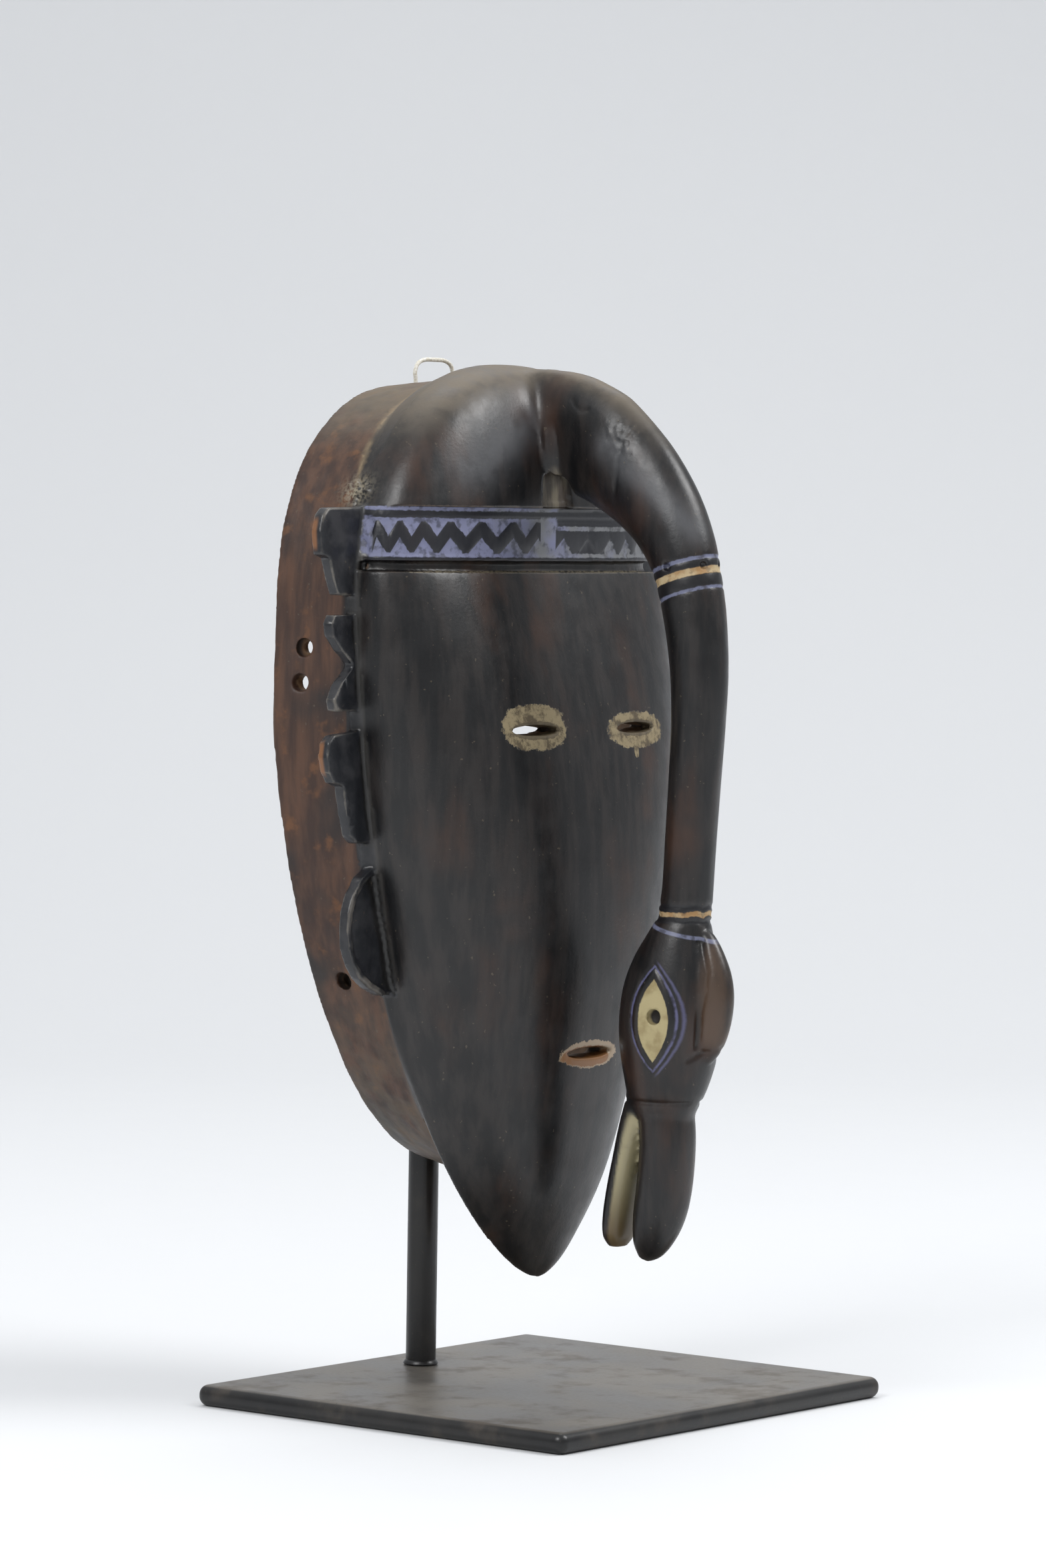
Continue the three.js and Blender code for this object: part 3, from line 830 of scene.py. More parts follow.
# %% [markdown]
# ### The zigzag
# The headband has two rows of small triangles, points up below and points down above, so that
# a dark zigzag is left standing between them. They were cut by eye, closer together at the
# temples. A number that counts along the band, one for each triangle, keeps that rhythm.

# %% The zigzag's rhythm
POINTS_X = np.array([
    -82.1, -81.1, -76.0, -67.8, -56.4, -40.8, -23.1, -8.5,
    7.2, 22.5, 37.7, 49.2, 60, 69, 76, 81.2,
])
LOW_LINE = 321.0
HIGH_LINE = 333.8
POINT_HEIGHT = 0.54
POINT_GAP = 0.06
BAND_CUT = 0.5


def girth(x, y):
    """How far round the band: a plain sum of the ways across and back."""
    return np.sign(x) * (np.abs(x) + y - BAND_FRONT_Y)


def zigzag_count(x, y):
    points = girth(POINTS_X, band_y(POINTS_X, LOW_LINE + 6))
    return np.interp(girth(x, y), points, np.arange(len(points)))


def zigzag_cut(x, y, z):
    """1 in the triangles and lines that are cut away, 0 on the zigzag that stands."""
    swing = 2 * np.abs((zigzag_count(x, y) % 1) - 0.5)
    rise = (z - LOW_LINE) / (HIGH_LINE - LOW_LINE)
    low = smooth(0.0, 0.09, POINT_HEIGHT * (swing - POINT_GAP) - rise) * (rise > 0)
    high = smooth(0.0, 0.09, POINT_HEIGHT * (1 - POINT_GAP - swing) - (1 - rise)) * (rise < 1)
    lines = np.exp(-(((z - LOW_LINE) / 0.6) ** 2)) + np.exp(-(((z - HIGH_LINE) / 0.6) ** 2))
    return np.clip(low + high * (x < -4) + lines, 0, 1)


on_band = (z > BAND_BOTTOM) & (z < BAND_TOP) & (y < 27) & (wide < BAND_HALF)
on_band = on_band * (1 - parts["bird"]) * (1 - parts["inside"])
cut = -BAND_CUT * zigzag_cut(x, y, z) * on_band

# %% [markdown]
# ### Lines on the bird
# Rings are cut round the neck, a pointed oval round each eye, and a groove beside the casque.
# On the neck's root there is a small curl, and a rough scar where the wood has cracked.

# %% Rings and ovals
NECK_RING_TILT = 0.30
RING_HIGH, RING_OCHRE, RING_LOW = 321.9, 316.9, 310.1
HEAD_RING = 189.3
BEAK_RING = 118.6
RING_WAVE = 0.4
EYE_OVAL = {"y": -61.0, "z": 150.4, "tall": 19.6, "wide": 9.4}
EYE_PATCH = {"y": -61.4, "z": 149.8, "tall": 15.4, "wide": 6.2}


def ring_level(y, z):
    return z + NECK_RING_TILT * (y + 73)


def pointed_oval(oval, y, z):
    """0 in the middle, 1 on the line."""
    return np.abs(y - oval["y"]) / oval["wide"] + ((z - oval["z"]) / oval["tall"]) ** 2


mirrored = np.stack([wide, y, z], axis=1)
bird_part = parts["bird"]
for level, half in ((RING_HIGH, 0.8), (RING_OCHRE, 1.5), (RING_LOW, 0.7)):
    cut += groove(ring_level(y, z) - level, half, 0.4) * bird_part * (z > 290) * (y < -40)
for level, half in ((192.2, 0.8), (HEAD_RING, 0.9), (186.6, 0.9)):
    cut += groove(z - level - RING_WAVE * np.sin(x * 0.9), half, 0.45) * bird_part * (y < -40)
cut += groove(z - BEAK_RING, 0.8, 0.7) * bird_part * (wide > 3)
flank = bird_part * (wide > 8) * (z > 125) * (z < 175)
cut += groove((pointed_oval(EYE_OVAL, y, z) - 1) * 8, 0.6, 0.5) * flank
cut -= 0.6 * (1 - smooth(0.9, 1.05, pointed_oval(EYE_PATCH, y, z))) * flank

# %% Drawn grooves
CASQUE_GROOVE = [(4.2, -74.1, 179.4), (6.2, -78.2, 168.2), (7, -78.1, 160.3), (7.2, -76.7, 153.5),
                 (6.8, -75, 140.5)]
CASQUE_END = [(9, -72.5, 135.5), (6, -75.1, 137.5), (3.6, -77.6, 138.5), (0, -80.8, 140.6)]
CURL = [(-8.9, -13, 379.6), (-9.5, -15.1, 376.9), (-9.9, -18.6, 374.9), (-9.5, -21, 375.6)]
CRACK = [(-9.8, -38.5, 363), (-11.2, -37.6, 358), (-11.9, -37.4, 352), (-12, -36.4, 345)]
SCAR = (-9.8, -37.5, 365.5)
cut += groove(line_distance(mirrored, CASQUE_GROOVE), 1.5, 1.3)
cut += groove(line_distance(mirrored, CASQUE_END), 1.0, 1.0)
cut += groove(line_distance(places, CURL), 0.8, 0.55)
cut += groove(line_distance(places, CRACK), 0.7, 0.6)
scar = np.exp(-((np.linalg.norm(places - SCAR, axis=1) / 6.5) ** 2))
cut += 0.2 * scar * wave(places, 2.2, seed=3)

# %% The ear's sunk panel and the seam beside the face
ear_line = [(out, 0, up) for out, up in EAR_CURVE]
flat_places = np.stack([wide, np.zeros_like(x), z], axis=1)
from_ear = line_distance(flat_places, ear_line, reach=30)
ear_face = parts["wing"] * (z < 207) * (facing_out[:, 1] < -0.5)
cut -= 1.5 * smooth(2.2, 3.4, from_ear) * ear_face
seam_x = wide - half_width(FRONT, z) + 0.8
seam = np.exp(-((seam_x / 0.8) ** 2)) * (np.abs(y - WING_FRONT_Y - lean(z)) < 2.5)
seam = seam * (z > 158) * (z < 337)
cut += 0.4 * seam

# %% [markdown]
# ### The knife's waves
# The outside was shaved smooth, so its waves are long and shallow, and longer up and down than
# across. Inside nobody looks, so the gouge's marks were left there. Wax and dirt have built up
# a crust in the corner above the upper wing.

# %% Waves
upright = (1, 1, 0.35)
CRUST = (-76, 34.5, 344)
CRUST_SIZE = (4.5, 6, 6)
cut += 0.06 * wave(places, 55, seed=11)
cut += 0.30 * wave(places, 24, seed=12, stretch=upright) * parts["collar"]
cut += 0.10 * wave(places, 6, seed=13, stretch=upright) * parts["collar"]
cut += 0.16 * wave(places, 7, seed=14, stretch=upright) * parts["wing"]
cut += 0.75 * np.abs(wave(places, 15, seed=15, stretch=(1, 1, 0.5))) * parts["inside"]
around_neck = np.arctan2(x, -68 - y)
cut += 0.05 * np.cos(9 * around_neck) * bird_part * (z > 195) * (z < 305)
crust = np.exp(-((np.linalg.norm((places - CRUST) / CRUST_SIZE, axis=1)) ** 2))
cut += crust * (0.7 + 0.9 * wave(places, 3.2, seed=16))
move_corners(mask, (places + facing_out * cut[:, None]) * MM)
print("cut between", round(float(cut.min()), 2), "and", round(float(cut.max()), 2), "mm")

# %% [markdown]
# ## Reading the carved surface
# Edges get rubbed bare and corners keep their dirt; some edges also get a painted highlight,
# and the hollows low on the mask get painted shade. To know which is which, the skin is
# compared with a relaxed copy of itself: a corner that stands out from its neighbours is on an
# edge, and one that lies behind them is in a hollow. Both are stored as attributes, which the
# material can read and which survive the next step.

# %% Edges and hollows
def relaxed(values, pairs, passes):
    count = len(values)
    a, b = pairs.T
    number = np.bincount(a, minlength=count) + np.bincount(b, minlength=count)
    for _ in range(passes):
        total = [
            np.bincount(a, column[b], count) + np.bincount(b, column[a], count)
            for column in values.T
        ]
        values = 0.5 * values + 0.5 * np.stack(total, axis=1) / number[:, None]
    return values


def store(piece, name, values):
    layer = piece.data.attributes.new(name, "FLOAT", "POINT")
    layer.data.foreach_set("value", values.astype(np.float32))


pairs = np.empty(len(mask.data.edges) * 2, dtype=np.int32)
mask.data.edges.foreach_get("vertices", pairs)
pairs = pairs.reshape(-1, 2)
places = corners_of(mask) / MM
facing_out = corners_of(mask, "normal")
close = relaxed(places, pairs, 8)
far = relaxed(close, pairs, 40)
stands_out = ((places - close) * facing_out).sum(1)
lies_behind = -((places - far) * facing_out).sum(1)
x, y, z = places.T

# %% Store what the material reads
SEEN_ACROSS = (0.619, -0.785)
LOBE_SHEEN = [(-1.5, 378.5), (-32, 353)]
NECK_SHEEN = [(18, 362), (51, 331)]
BAND_END_GIRTH = (101.8, 102.6)
BEAK_GAP_TOP = 116
store(mask, "edge_wear_and_highlight", np.clip(stands_out / 0.5, 0, 1))
crease_line = np.exp(-(((y - crease_y(z)) / 0.9) ** 2)) * smooth(340, 348, z)
store(mask, "crease_line", crease_line * (1 - parts["inside"]) * (np.abs(x) > 6))
behind_wedge = y > mix(*WEDGE_FRONT_Y, (z - WEDGE_BOTTOM) / (WEDGE_TOP - WEDGE_BOTTOM)) + 2
strip_here = (z > BAND_TOP) & (y < LOBE_FLANK_Y) & (facing_out[:, 1] < FACES_FRONT)
strip_here = parting * (strip_here & behind_wedge) * (1 - parts["inside"])
store(mask, "parting", relaxed(strip_here[:, None], pairs, 2)[:, 0])
# Painted highlights: a pale sheen on the lobe and along the neck, on bands laid out as the camera
# sees them.
seen = np.stack([SEEN_ACROSS[0] * x + SEEN_ACROSS[1] * y, z], axis=1)
lobe_painted_sheen = np.exp(-((line_distance(seen, LOBE_SHEEN, 24) / 8) ** 2))
neck_painted_sheen = np.exp(-((line_distance(seen, NECK_SHEEN, 24) / 4.5) ** 2))
neck_painted_sheen = neck_painted_sheen * parts["bird"] * (facing_out[:, 0] < 0.35)
store(mask, "painted_sheen", relaxed((lobe_painted_sheen * lobe_front + neck_painted_sheen)[:, None], pairs, 6)[:, 0])
store(mask, "band_end", smooth(*BAND_END_GIRTH, np.abs(girth(x, y))))
store(mask, "sunk", np.clip(lies_behind / 1.2, 0, 1))
store(mask, "upward", np.clip(facing_out[:, 2], 0, 1))
store(mask, "crusted", np.clip(crust, 0, 1))
store(mask, "seam", np.clip(seam, 0, 1))
store(mask, "band_place", on_band)
store(mask, "zigzag", zigzag_count(x, y))
below = BEAK_GAP_TOP - z
beak_gap = smooth(-0.15, 0.15, -facing_out[:, 1]) * (y > -50 + 0.1 * below)
beak_gap = beak_gap * (z < BEAK_ROOT_LEVEL) * smooth(0.7, -0.7, y + 44.6 - 0.19 * below)
store(mask, "mouth_side", beak_gap * parts["bird"])
for name, part in parts.items():
    store(mask, name, part)
print("edge_wear_and_highlight", round(float((stands_out > 0.2).mean()), 3), "of the skin")

# %% [markdown]
# ## Thinning the mesh
# The even skin has far more faces than its smooth stretches need. The Decimate modifier takes
# them from there first and leaves the fine carving alone.

# %% Thin the skin
MASK_TRIANGLES = 190000
triangles = 2 * len(mask.data.polygons)
apply_modifier(mask, "DECIMATE", ratio=MASK_TRIANGLES / triangles)
mask.data.calc_loop_triangles()
print("mask", len(mask.data.loop_triangles), "triangles")
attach(mask, "root")
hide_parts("mask")

# %% [markdown]
# ## The stand
# The foot plate is a slab of mild steel with rounded edges: a cube with its upright edges
# bevelled first and all the others after. The rod is a drawn bar, welded to the plate with a
# small bead of weld. Near its top a short arm reaches into the hollow and ends in a pad.

# %% Foot plate
PLATE = (200, 174.8, 8)
PLATE_CORNER = 4
PLATE_EDGE = 3.6


def block(size, centre, tilt=0.0):
    bpy.ops.mesh.primitive_cube_add(size=1)
    piece = bpy.context.object
    piece.scale = [side * MM for side in size]
    piece.rotation_euler = (tilt, 0, 0)
    piece.location = [place * MM for place in centre]
    settle()
    return piece


plate = block(PLATE, (0, 0, PLATE[2] / 2))
plate.name = "foot_plate"
pick_up(plate)
bpy.ops.object.mode_set(mode="EDIT")
bpy.ops.mesh.select_mode(type="EDGE")
bpy.ops.mesh.select_all(action="DESELECT")
bpy.ops.object.mode_set(mode="OBJECT")
for edge in plate.data.edges:
    ends = [plate.data.vertices[i].co for i in edge.vertices]
    edge.select = abs(ends[0].z - ends[1].z) > 1e-4
bpy.ops.object.mode_set(mode="EDIT")
bpy.ops.mesh.bevel(offset=PLATE_CORNER * MM, segments=8, affect="EDGES")
bpy.ops.mesh.select_mode(type="VERT")
bpy.ops.object.mode_set(mode="OBJECT")
put_down()
apply_modifier(plate, "BEVEL", width=PLATE_EDGE * MM, segments=8, limit_method="ANGLE")
print("plate", len(plate.data.polygons), "faces")

# %% Rod, weld, arm and pad
ROD_X = 1.5
ROD_Y = 61
ROD_RADIUS = 5.8
ROD_BOTTOM = 8.3
ROD_TOP = 306
WELD = {"foot": 7.0, "top": 6.0, "tall": 1.8}
ARM_Z = 300
ARM_RADIUS = 4
PAD = (26, 3, 18)
PAD_Y = 12.05
PAD_TILT = 0.332
SMOOTH_BELOW = math.radians(35)
rod = drill(ROD_RADIUS, ROD_TOP - ROD_BOTTOM, (0, 0, 1), (ROD_X, ROD_Y, (ROD_TOP + ROD_BOTTOM) / 2))
rod.name = "rod"
apply_modifier(rod, "BEVEL", width=0.6 * MM, segments=2, limit_method="ANGLE")
bpy.ops.mesh.primitive_cone_add(
    vertices=48, radius1=WELD["foot"] * MM, radius2=WELD["top"] * MM, depth=WELD["tall"] * MM,
    location=(ROD_X * MM, ROD_Y * MM, (ROD_BOTTOM + WELD["tall"] / 2) * MM),
)
weld = bpy.context.object
settle()
apply_modifier(weld, "BEVEL", width=0.6 * MM, segments=3, limit_method="ANGLE")
arm_middle = (ROD_X, (ROD_Y + PAD_Y) / 2, ARM_Z)
arm = drill(ARM_RADIUS, ROD_Y - PAD_Y, (0, 1, 0), arm_middle)
pad = block(PAD, (ROD_X, PAD_Y, ARM_Z), -PAD_TILT)
apply_modifier(pad, "BEVEL", width=0.6 * MM, segments=2, limit_method="ANGLE")
for form in (weld, arm, pad):
    boolean(rod, form, "UNION")
for piece, node in ((plate, "stand_plate"), (rod, "stand_rod")):
    pick_up(piece)
    bpy.ops.object.shade_smooth_by_angle(angle=SMOOTH_BELOW)
    put_down()
    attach(piece, "root")
    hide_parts(node)
print("rod", len(rod.data.polygons), "faces")

# %% [markdown]
# ## The hanging loop
# Two small holes in the top of the collar hold a thin pale line, knotted inside. It stands up
# in a narrow arch. The line is swept along the arch as the neck is, only from side to side,
# with a small ball for each knot.

# %% Hanging loop
KNOT_Z = 375.9
KNOT_RADIUS = 2.4
LOOP_RADIUS = 0.8
LOOP_STEPS = 90
LOOP_HALF = [
    (LOOP_X, KNOT_Z), (LOOP_X, 382), (LOOP_X, 387), (11.4, 389.6), (9.9, 392.8), (6, 394.4),
]
LOOP_LINE = [(-out, up) for out, up in LOOP_HALF] + [(0, 394.6)] + LOOP_HALF[::-1]
arch = sweep([(*spot, LOOP_RADIUS, LOOP_RADIUS) for spot in LOOP_LINE], LOOP_STEPS)


def across_the_rim(u, v):
    depth, x, z = arch(u, v)
    return x, LOOP_Y + depth, z


loop = rolled_sheet("hanging_line", 12, LOOP_STEPS, across_the_rim)
for side in (-1, 1):
    knot_place = (side * LOOP_X * MM, LOOP_Y * MM, KNOT_Z * MM)
    bpy.ops.mesh.primitive_ico_sphere_add(
        subdivisions=3, radius=KNOT_RADIUS * MM, location=knot_place
    )
    knot = bpy.context.object
    settle()
    boolean(loop, knot, "UNION")
pick_up(loop)
bpy.ops.object.shade_smooth()
put_down()
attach(loop, "root")
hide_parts("hanging_loop")
print("loop", len(loop.data.polygons), "faces")

# %% [markdown]
# ## Writing a material as sums
# A procedural material is a sum of many small steps. Wiring them by hand hides the sum, so a
# short helper adds a node for each step and hands back its output. All sizes are millimetres
# on the piece itself, because the object's coordinates are scaled up by a thousand.

# %% A recipe for a material
class Recipe:
    def __init__(self, name):
        self.colour = None
        self.material = bpy.data.materials.new(name)
        self.material.use_nodes = True
        self.nodes = self.material.node_tree.nodes
        self.links = self.material.node_tree.links
        self.shader = self.nodes["Principled BSDF"]
        place = self.nodes.new("ShaderNodeTexCoord").outputs["Object"]
        self.place = self.vector("SCALE", place, None, 1000)
        split = self.nodes.new("ShaderNodeSeparateXYZ")
        self.links.new(self.place, split.inputs[0])
        self.x, self.y, self.z = split.outputs

    def feed(self, socket, value):
        if isinstance(value, bpy.types.NodeSocket):
            self.links.new(value, socket)
        elif isinstance(value, tuple) and len(socket.default_value) == 4:
            socket.default_value = (*value, 1)
        elif value is not None:
            socket.default_value = value

    def vector(self, operation, a, b=None, scale=None):
        node = self.nodes.new("ShaderNodeVectorMath")
        node.operation = operation
        self.feed(node.inputs[0], a)
        self.feed(node.inputs[1], b)
        self.feed(node.inputs[3], scale)
        return node.outputs["Vector"]

    def math(self, operation, a, b=None, c=None):
        node = self.nodes.new("ShaderNodeMath")
        node.operation = operation
        for socket, value in zip(node.inputs, (a, b, c)):
            self.feed(socket, value)
        return node.outputs[0]

    def add(self, *values):
        total = values[0]
        for value in values[1:]:
            total = self.math("ADD", total, value)
        return total

    def times(self, *values):
        total = values[0]
        for value in values[1:]:
            total = self.math("MULTIPLY", total, value)
        return total

    def less(self, a, b):
        return self.math("SUBTRACT", a, b)

    def top_of(self, *values):
        best = values[0]
        for value in values[1:]:
            best = self.math("MAXIMUM", best, value)
        return best

    def ramp(self, value, low, high, start=0.0, end=1.0):
        node = self.nodes.new("ShaderNodeMapRange")
        node.interpolation_type = "SMOOTHSTEP"
        for socket, number in zip(node.inputs, (value, low, high, start, end)):
            self.feed(socket, number)
        return node.outputs[0]

    def line(self, value, middle, half, soft=0.25):
        return self.ramp(self.math("ABSOLUTE", self.less(value, middle)), half + soft, half - soft)

    def noise(self, size, stretch=(1, 1, 1), detail=4.0, rough=0.55, shift=0.0):
        node = self.nodes.new("ShaderNodeTexNoise")
        moved = self.vector("MULTIPLY", self.place, tuple(s / size for s in stretch))
        self.feed(node.inputs["Vector"], self.vector("ADD", moved, (shift, shift, shift)))
        node.inputs["Scale"].default_value = 1.0
        node.inputs["Detail"].default_value = detail
        node.inputs["Roughness"].default_value = rough
        return node.outputs["Fac"]

    def cover(self, under, over, amount):
        node = self.nodes.new("ShaderNodeMix")
        node.data_type = "RGBA"
        self.feed(node.inputs["Factor"], amount)
        self.feed(node.inputs[6], under)
        self.feed(node.inputs[7], over)
        return node.outputs[2]

    def coat(self, colour, *amounts):
        """Lay a colour over the coats before it, as far as the amounts together say."""
        self.colour = self.cover(self.colour, colour, self.times(*amounts))

    def attribute(self, name):
        node = self.nodes.new("ShaderNodeAttribute")
        node.attribute_name = name
        return node.outputs["Fac"]

    def finish(self, piece, roughness, height, lift):
        """height is in millimetres; lift scales it."""
        bump = self.nodes.new("ShaderNodeBump")
        bump.inputs["Distance"].default_value = lift * MM
        self.feed(bump.inputs["Height"], height)
        self.feed(self.shader.inputs["Base Color"], self.colour)
        self.feed(self.shader.inputs["Roughness"], roughness)
        self.feed(self.shader.inputs["Normal"], bump.outputs[0])
        piece.data.materials.clear()
        piece.data.materials.append(self.material)


# %% [markdown]
# ## Blackened wood
# The wood was dyed black and rubbed with oil until it shone like satin. Where hands and the
# lacing rubbed it, the reddish wood shows, in streaks that follow the grain up and down. The
# collar was hardly dyed. Dust lies on what faces up.

# %% Wood: ground colours
wood = Recipe("carved_wood_finish")
cover, coat, ramp, line, noise = wood.cover, wood.coat, wood.ramp, wood.line, wood.noise
add, times, less, top_of, attribute = wood.add, wood.times, wood.less, wood.top_of, wood.attribute
edge_wear_and_highlight, sunk, upward = (attribute(name) for name in ("edge_wear_and_highlight", "sunk", "upward"))
collar_part, inside_part = attribute("collar"), attribute("inside")
wing_part, bird_at = attribute("wing"), attribute("bird")
grain = noise(5, stretch=(1, 1, 0.14), detail=5)
streaks = noise(19, stretch=(1, 1, 0.28), detail=5, shift=7)
patches = noise(46, detail=3, shift=3)
speckle = noise(1.3, detail=3, shift=11)
smears = noise(9, detail=5, shift=19)

black = cover((0.0048, 0.0048, 0.0054), (0.018, 0.0150, 0.0140), ramp(grain, 0.38, 0.66))
worn = times(ramp(streaks, 0.44, 0.70), ramp(patches, 0.42, 0.62))
wood.colour = cover(black, (0.046, 0.021, 0.012), times(worn, 0.85))

brown = cover((0.036, 0.016, 0.010), (0.085, 0.039, 0.021), ramp(grain, 0.35, 0.68))
brown = cover(brown, (0.016, 0.011, 0.010), ramp(patches, 0.50, 0.66))
brown = cover(brown, (0.15, 0.062, 0.022), times(ramp(smears, 0.56, 0.72), 0.7))
# The collar turns paler and greyer towards the bottom.
paler_towards_bottom = times(ramp(wood.z, 185, 95), ramp(smears, 0.3, 0.6), 0.5)
brown = cover(brown, (0.12, 0.103, 0.075), paler_towards_bottom)
coat(brown, collar_part)
bare = cover((0.11, 0.062, 0.032), (0.19, 0.115, 0.062), ramp(grain, 0.35, 0.68))
coat(bare, inside_part)
dark_wing = cover((0.012, 0.013, 0.016), (0.028, 0.028, 0.031), ramp(smears, 0.4, 0.65))
coat(dark_wing, wing_part)

# %% Wood: dust, dirt, rubbed edges, painted shade and painted highlights
dust = times(
    ramp(upward, 0.30, 0.85),
    ramp(wood.z, 352, 384),
    ramp(smears, 0.25, 0.6, 0.35, 0.8),
)
coat((0.155, 0.125, 0.088), dust)
crease_dirt = times(ramp(sunk, 0.25, 0.7), ramp(wood.z, 338, 350), 0.7)
crease_dirt = times(crease_dirt, ramp(wood.y, 24, 29))
coat((0.16, 0.125, 0.08), crease_dirt, ramp(bird_at, 0.5, 0))
# Painted shade: the hollows of everything below the band are darkened almost to black.
painted_shade_low = times(ramp(sunk, 0.35, 0.9), ramp(wood.z, 318, 308), 0.8)
coat((0.006, 0.005, 0.004), painted_shade_low)
# Rubbed edges show bare brown wood; on the wings the pale grey edges are partly wear and partly
# painted highlight.
edges = times(ramp(edge_wear_and_highlight, 0.45, 0.95), ramp(smears, 0.38, 0.58, 0.15, 1.0))
wear_and_highlight_colour = cover((0.085, 0.055, 0.034), (0.15, 0.135, 0.115), wing_part)
coat(wear_and_highlight_colour, edges, ramp(inside_part, 1, 0), 0.75)
side_face = times(wing_part, ramp(wood.math("ABSOLUTE", wood.x), 95, 98), 0.8)
tab_level = top_of(line(wood.z, 328, 5.5, 1.5), line(wood.z, 245.5, 6, 1.5))
behind = ramp(less(wood.y, times(wood.z, LEAN)), 16.6, 18.0)
orange = times(side_face, tab_level, behind)
coat((0.24, 0.105, 0.042), orange)
strip_colour = cover((0.060, 0.046, 0.034), (0.17, 0.145, 0.10), ramp(grain, 0.4, 0.6))
coat(strip_colour, attribute("parting"), 0.85)
crease_amount = times(attribute("crease_line"), ramp(smears, 0.35, 0.6, 0.2, 0.9))
coat((0.24, 0.175, 0.10), crease_amount)
coat((0.075, 0.072, 0.066), attribute("seam"), 0.85)
# Painted highlight: the pale grey sheen on the lobe and the neck.
painted_sheen = times(attribute("painted_sheen"), ramp(smears, 0.25, 0.6, 0.6, 1), 0.6)
coat((0.115, 0.117, 0.125), painted_sheen)
specks = times(ramp(noise(1.9, detail=2, shift=53), 0.70, 0.75), 0.55)
coat((0.10, 0.08, 0.055), specks)
# Painted highlight: a pale tan line where the face's top edge catches the light.
face_top_highlight = times(line(wood.z, 314.6, 0.35, 0.3), ramp(wood.y, 12, 8))
face_top_highlight = times(face_top_highlight, ramp(bird_at, 0.5, 0), ramp(speckle, 0.4, 0.55))
coat((0.16, 0.135, 0.09), face_top_highlight, less(1.0, wing_part))
crust_here = times(attribute("crusted"), ramp(speckle, 0.35, 0.6))
coat((0.27, 0.235, 0.17), crust_here)

# %% [markdown]
# ## Paint in the cuts
# White clay tinted with laundry blue fills the cuts of the headband and some rings on the
# bird's neck. Yellow ochre marks the eyes, the mouth and the beak. All of it is old, thin and
# rough at its borders, so every border is shaken by a fine noise.

# %% Paint: the headband
TOP_LINE = 337.9
PLAIN_HALF_LINE = 330.9
PLAIN_GAP = (23.5, 10.5)
CENTRE_BAR = (-2.4, 4.6)
band_at = attribute("band_place")
shake = times(less(noise(2.2, detail=4, shift=5), 0.5), 1.4)
level = add(wood.z, times(shake, 0.9))
beat = add(attribute("zigzag"), times(shake, 0.08))
swing = times(wood.math("ABSOLUTE", less(wood.math("FRACT", beat), 0.5)), 2.0)
rise = wood.math("DIVIDE", less(level, LOW_LINE), HIGH_LINE - LOW_LINE)
low_reach = less(times(less(swing, POINT_GAP), POINT_HEIGHT), rise)
high_gap = less(1 - POINT_GAP, swing)
high_reach = less(times(high_gap, POINT_HEIGHT), less(1.0, rise))
low_triangles = times(ramp(low_reach, 0.0, 0.05), ramp(rise, -0.04, 0.0))
high_triangles = times(ramp(high_reach, 0.0, 0.05), ramp(rise, 1.04, 1.0))
left_half = ramp(wood.x, 4, 2)
plain_gap = line(wood.x, *PLAIN_GAP, 0.5)
low_triangles = times(low_triangles, less(1.0, plain_gap))
triangles = top_of(low_triangles, times(high_triangles, left_half))
lines = top_of(
    line(level, LOW_LINE - 0.3, 0.75),
    times(line(level, HIGH_LINE, 0.6), left_half),
    times(line(level, TOP_LINE, 0.75), left_half),
    times(line(level, PLAIN_HALF_LINE, 0.8), ramp(wood.x, 2, 4)),
)
bars = top_of(attribute("band_end"), line(wood.x, *CENTRE_BAR))
bars = times(bars, ramp(level, 335.5, 334.5), ramp(level, 319.5, 320.5))
clay = times(top_of(triangles, lines, bars), band_at)
thin = ramp(noise(3.5, detail=5, shift=23), 0.34, 0.52, 0.35, 0.95)
blueness = ramp(add(noise(16, shift=31), times(wood.x, -0.0035)), 0.38, 0.68)
blue_clay = cover((0.165, 0.17, 0.18), (0.175, 0.185, 0.29), blueness)
coat((0.012, 0.013, 0.018), band_at, 0.85)
coat(blue_clay, clay, thin)

# %% Paint: rings on the neck
neck_at = times(bird_at, ramp(wood.y, -38, -44))
tilted = add(wood.z, times(add(wood.y, 73), NECK_RING_TILT), times(shake, 0.7))
ochre = cover((0.30, 0.17, 0.065), (0.46, 0.36, 0.21), ramp(smears, 0.4, 0.62))
rings_blue = top_of(line(tilted, RING_HIGH, 0.75), line(tilted, RING_LOW, 0.65))
throat_ring = line(add(wood.z, times(add(wood.y, 68), -0.22)), 181.6, 0.7)
rings_blue = times(top_of(rings_blue, throat_ring), neck_at)
rings_ochre = line(tilted, RING_OCHRE, 1.45)
wavy = add(wood.z, times(wood.math("SINE", times(wood.x, 0.9)), -RING_WAVE), shake)
rings_ochre = times(top_of(rings_ochre, line(wavy, HEAD_RING, 0.95)), neck_at)
rings_dark = times(top_of(line(tilted, 316, 5), line(wood.z, 189.2, 3.6)), neck_at, 0.8)
coat((0.009, 0.009, 0.011), rings_dark)
coat((0.15, 0.16, 0.24), rings_blue, thin)
coat(ochre, rings_ochre, ramp(thin, 0.3, 0.8, 0.6, 1.0))


# %% Paint: the bird's eye and beak
def pointed_mask(oval):
    across = wood.math("ABSOLUTE", less(add(wood.y, times(shake, 0.5)), oval["y"]))
    tall = wood.math("DIVIDE", less(wood.z, oval["z"]), oval["tall"])
    return add(wood.math("DIVIDE", across, oval["wide"]), times(tall, tall))


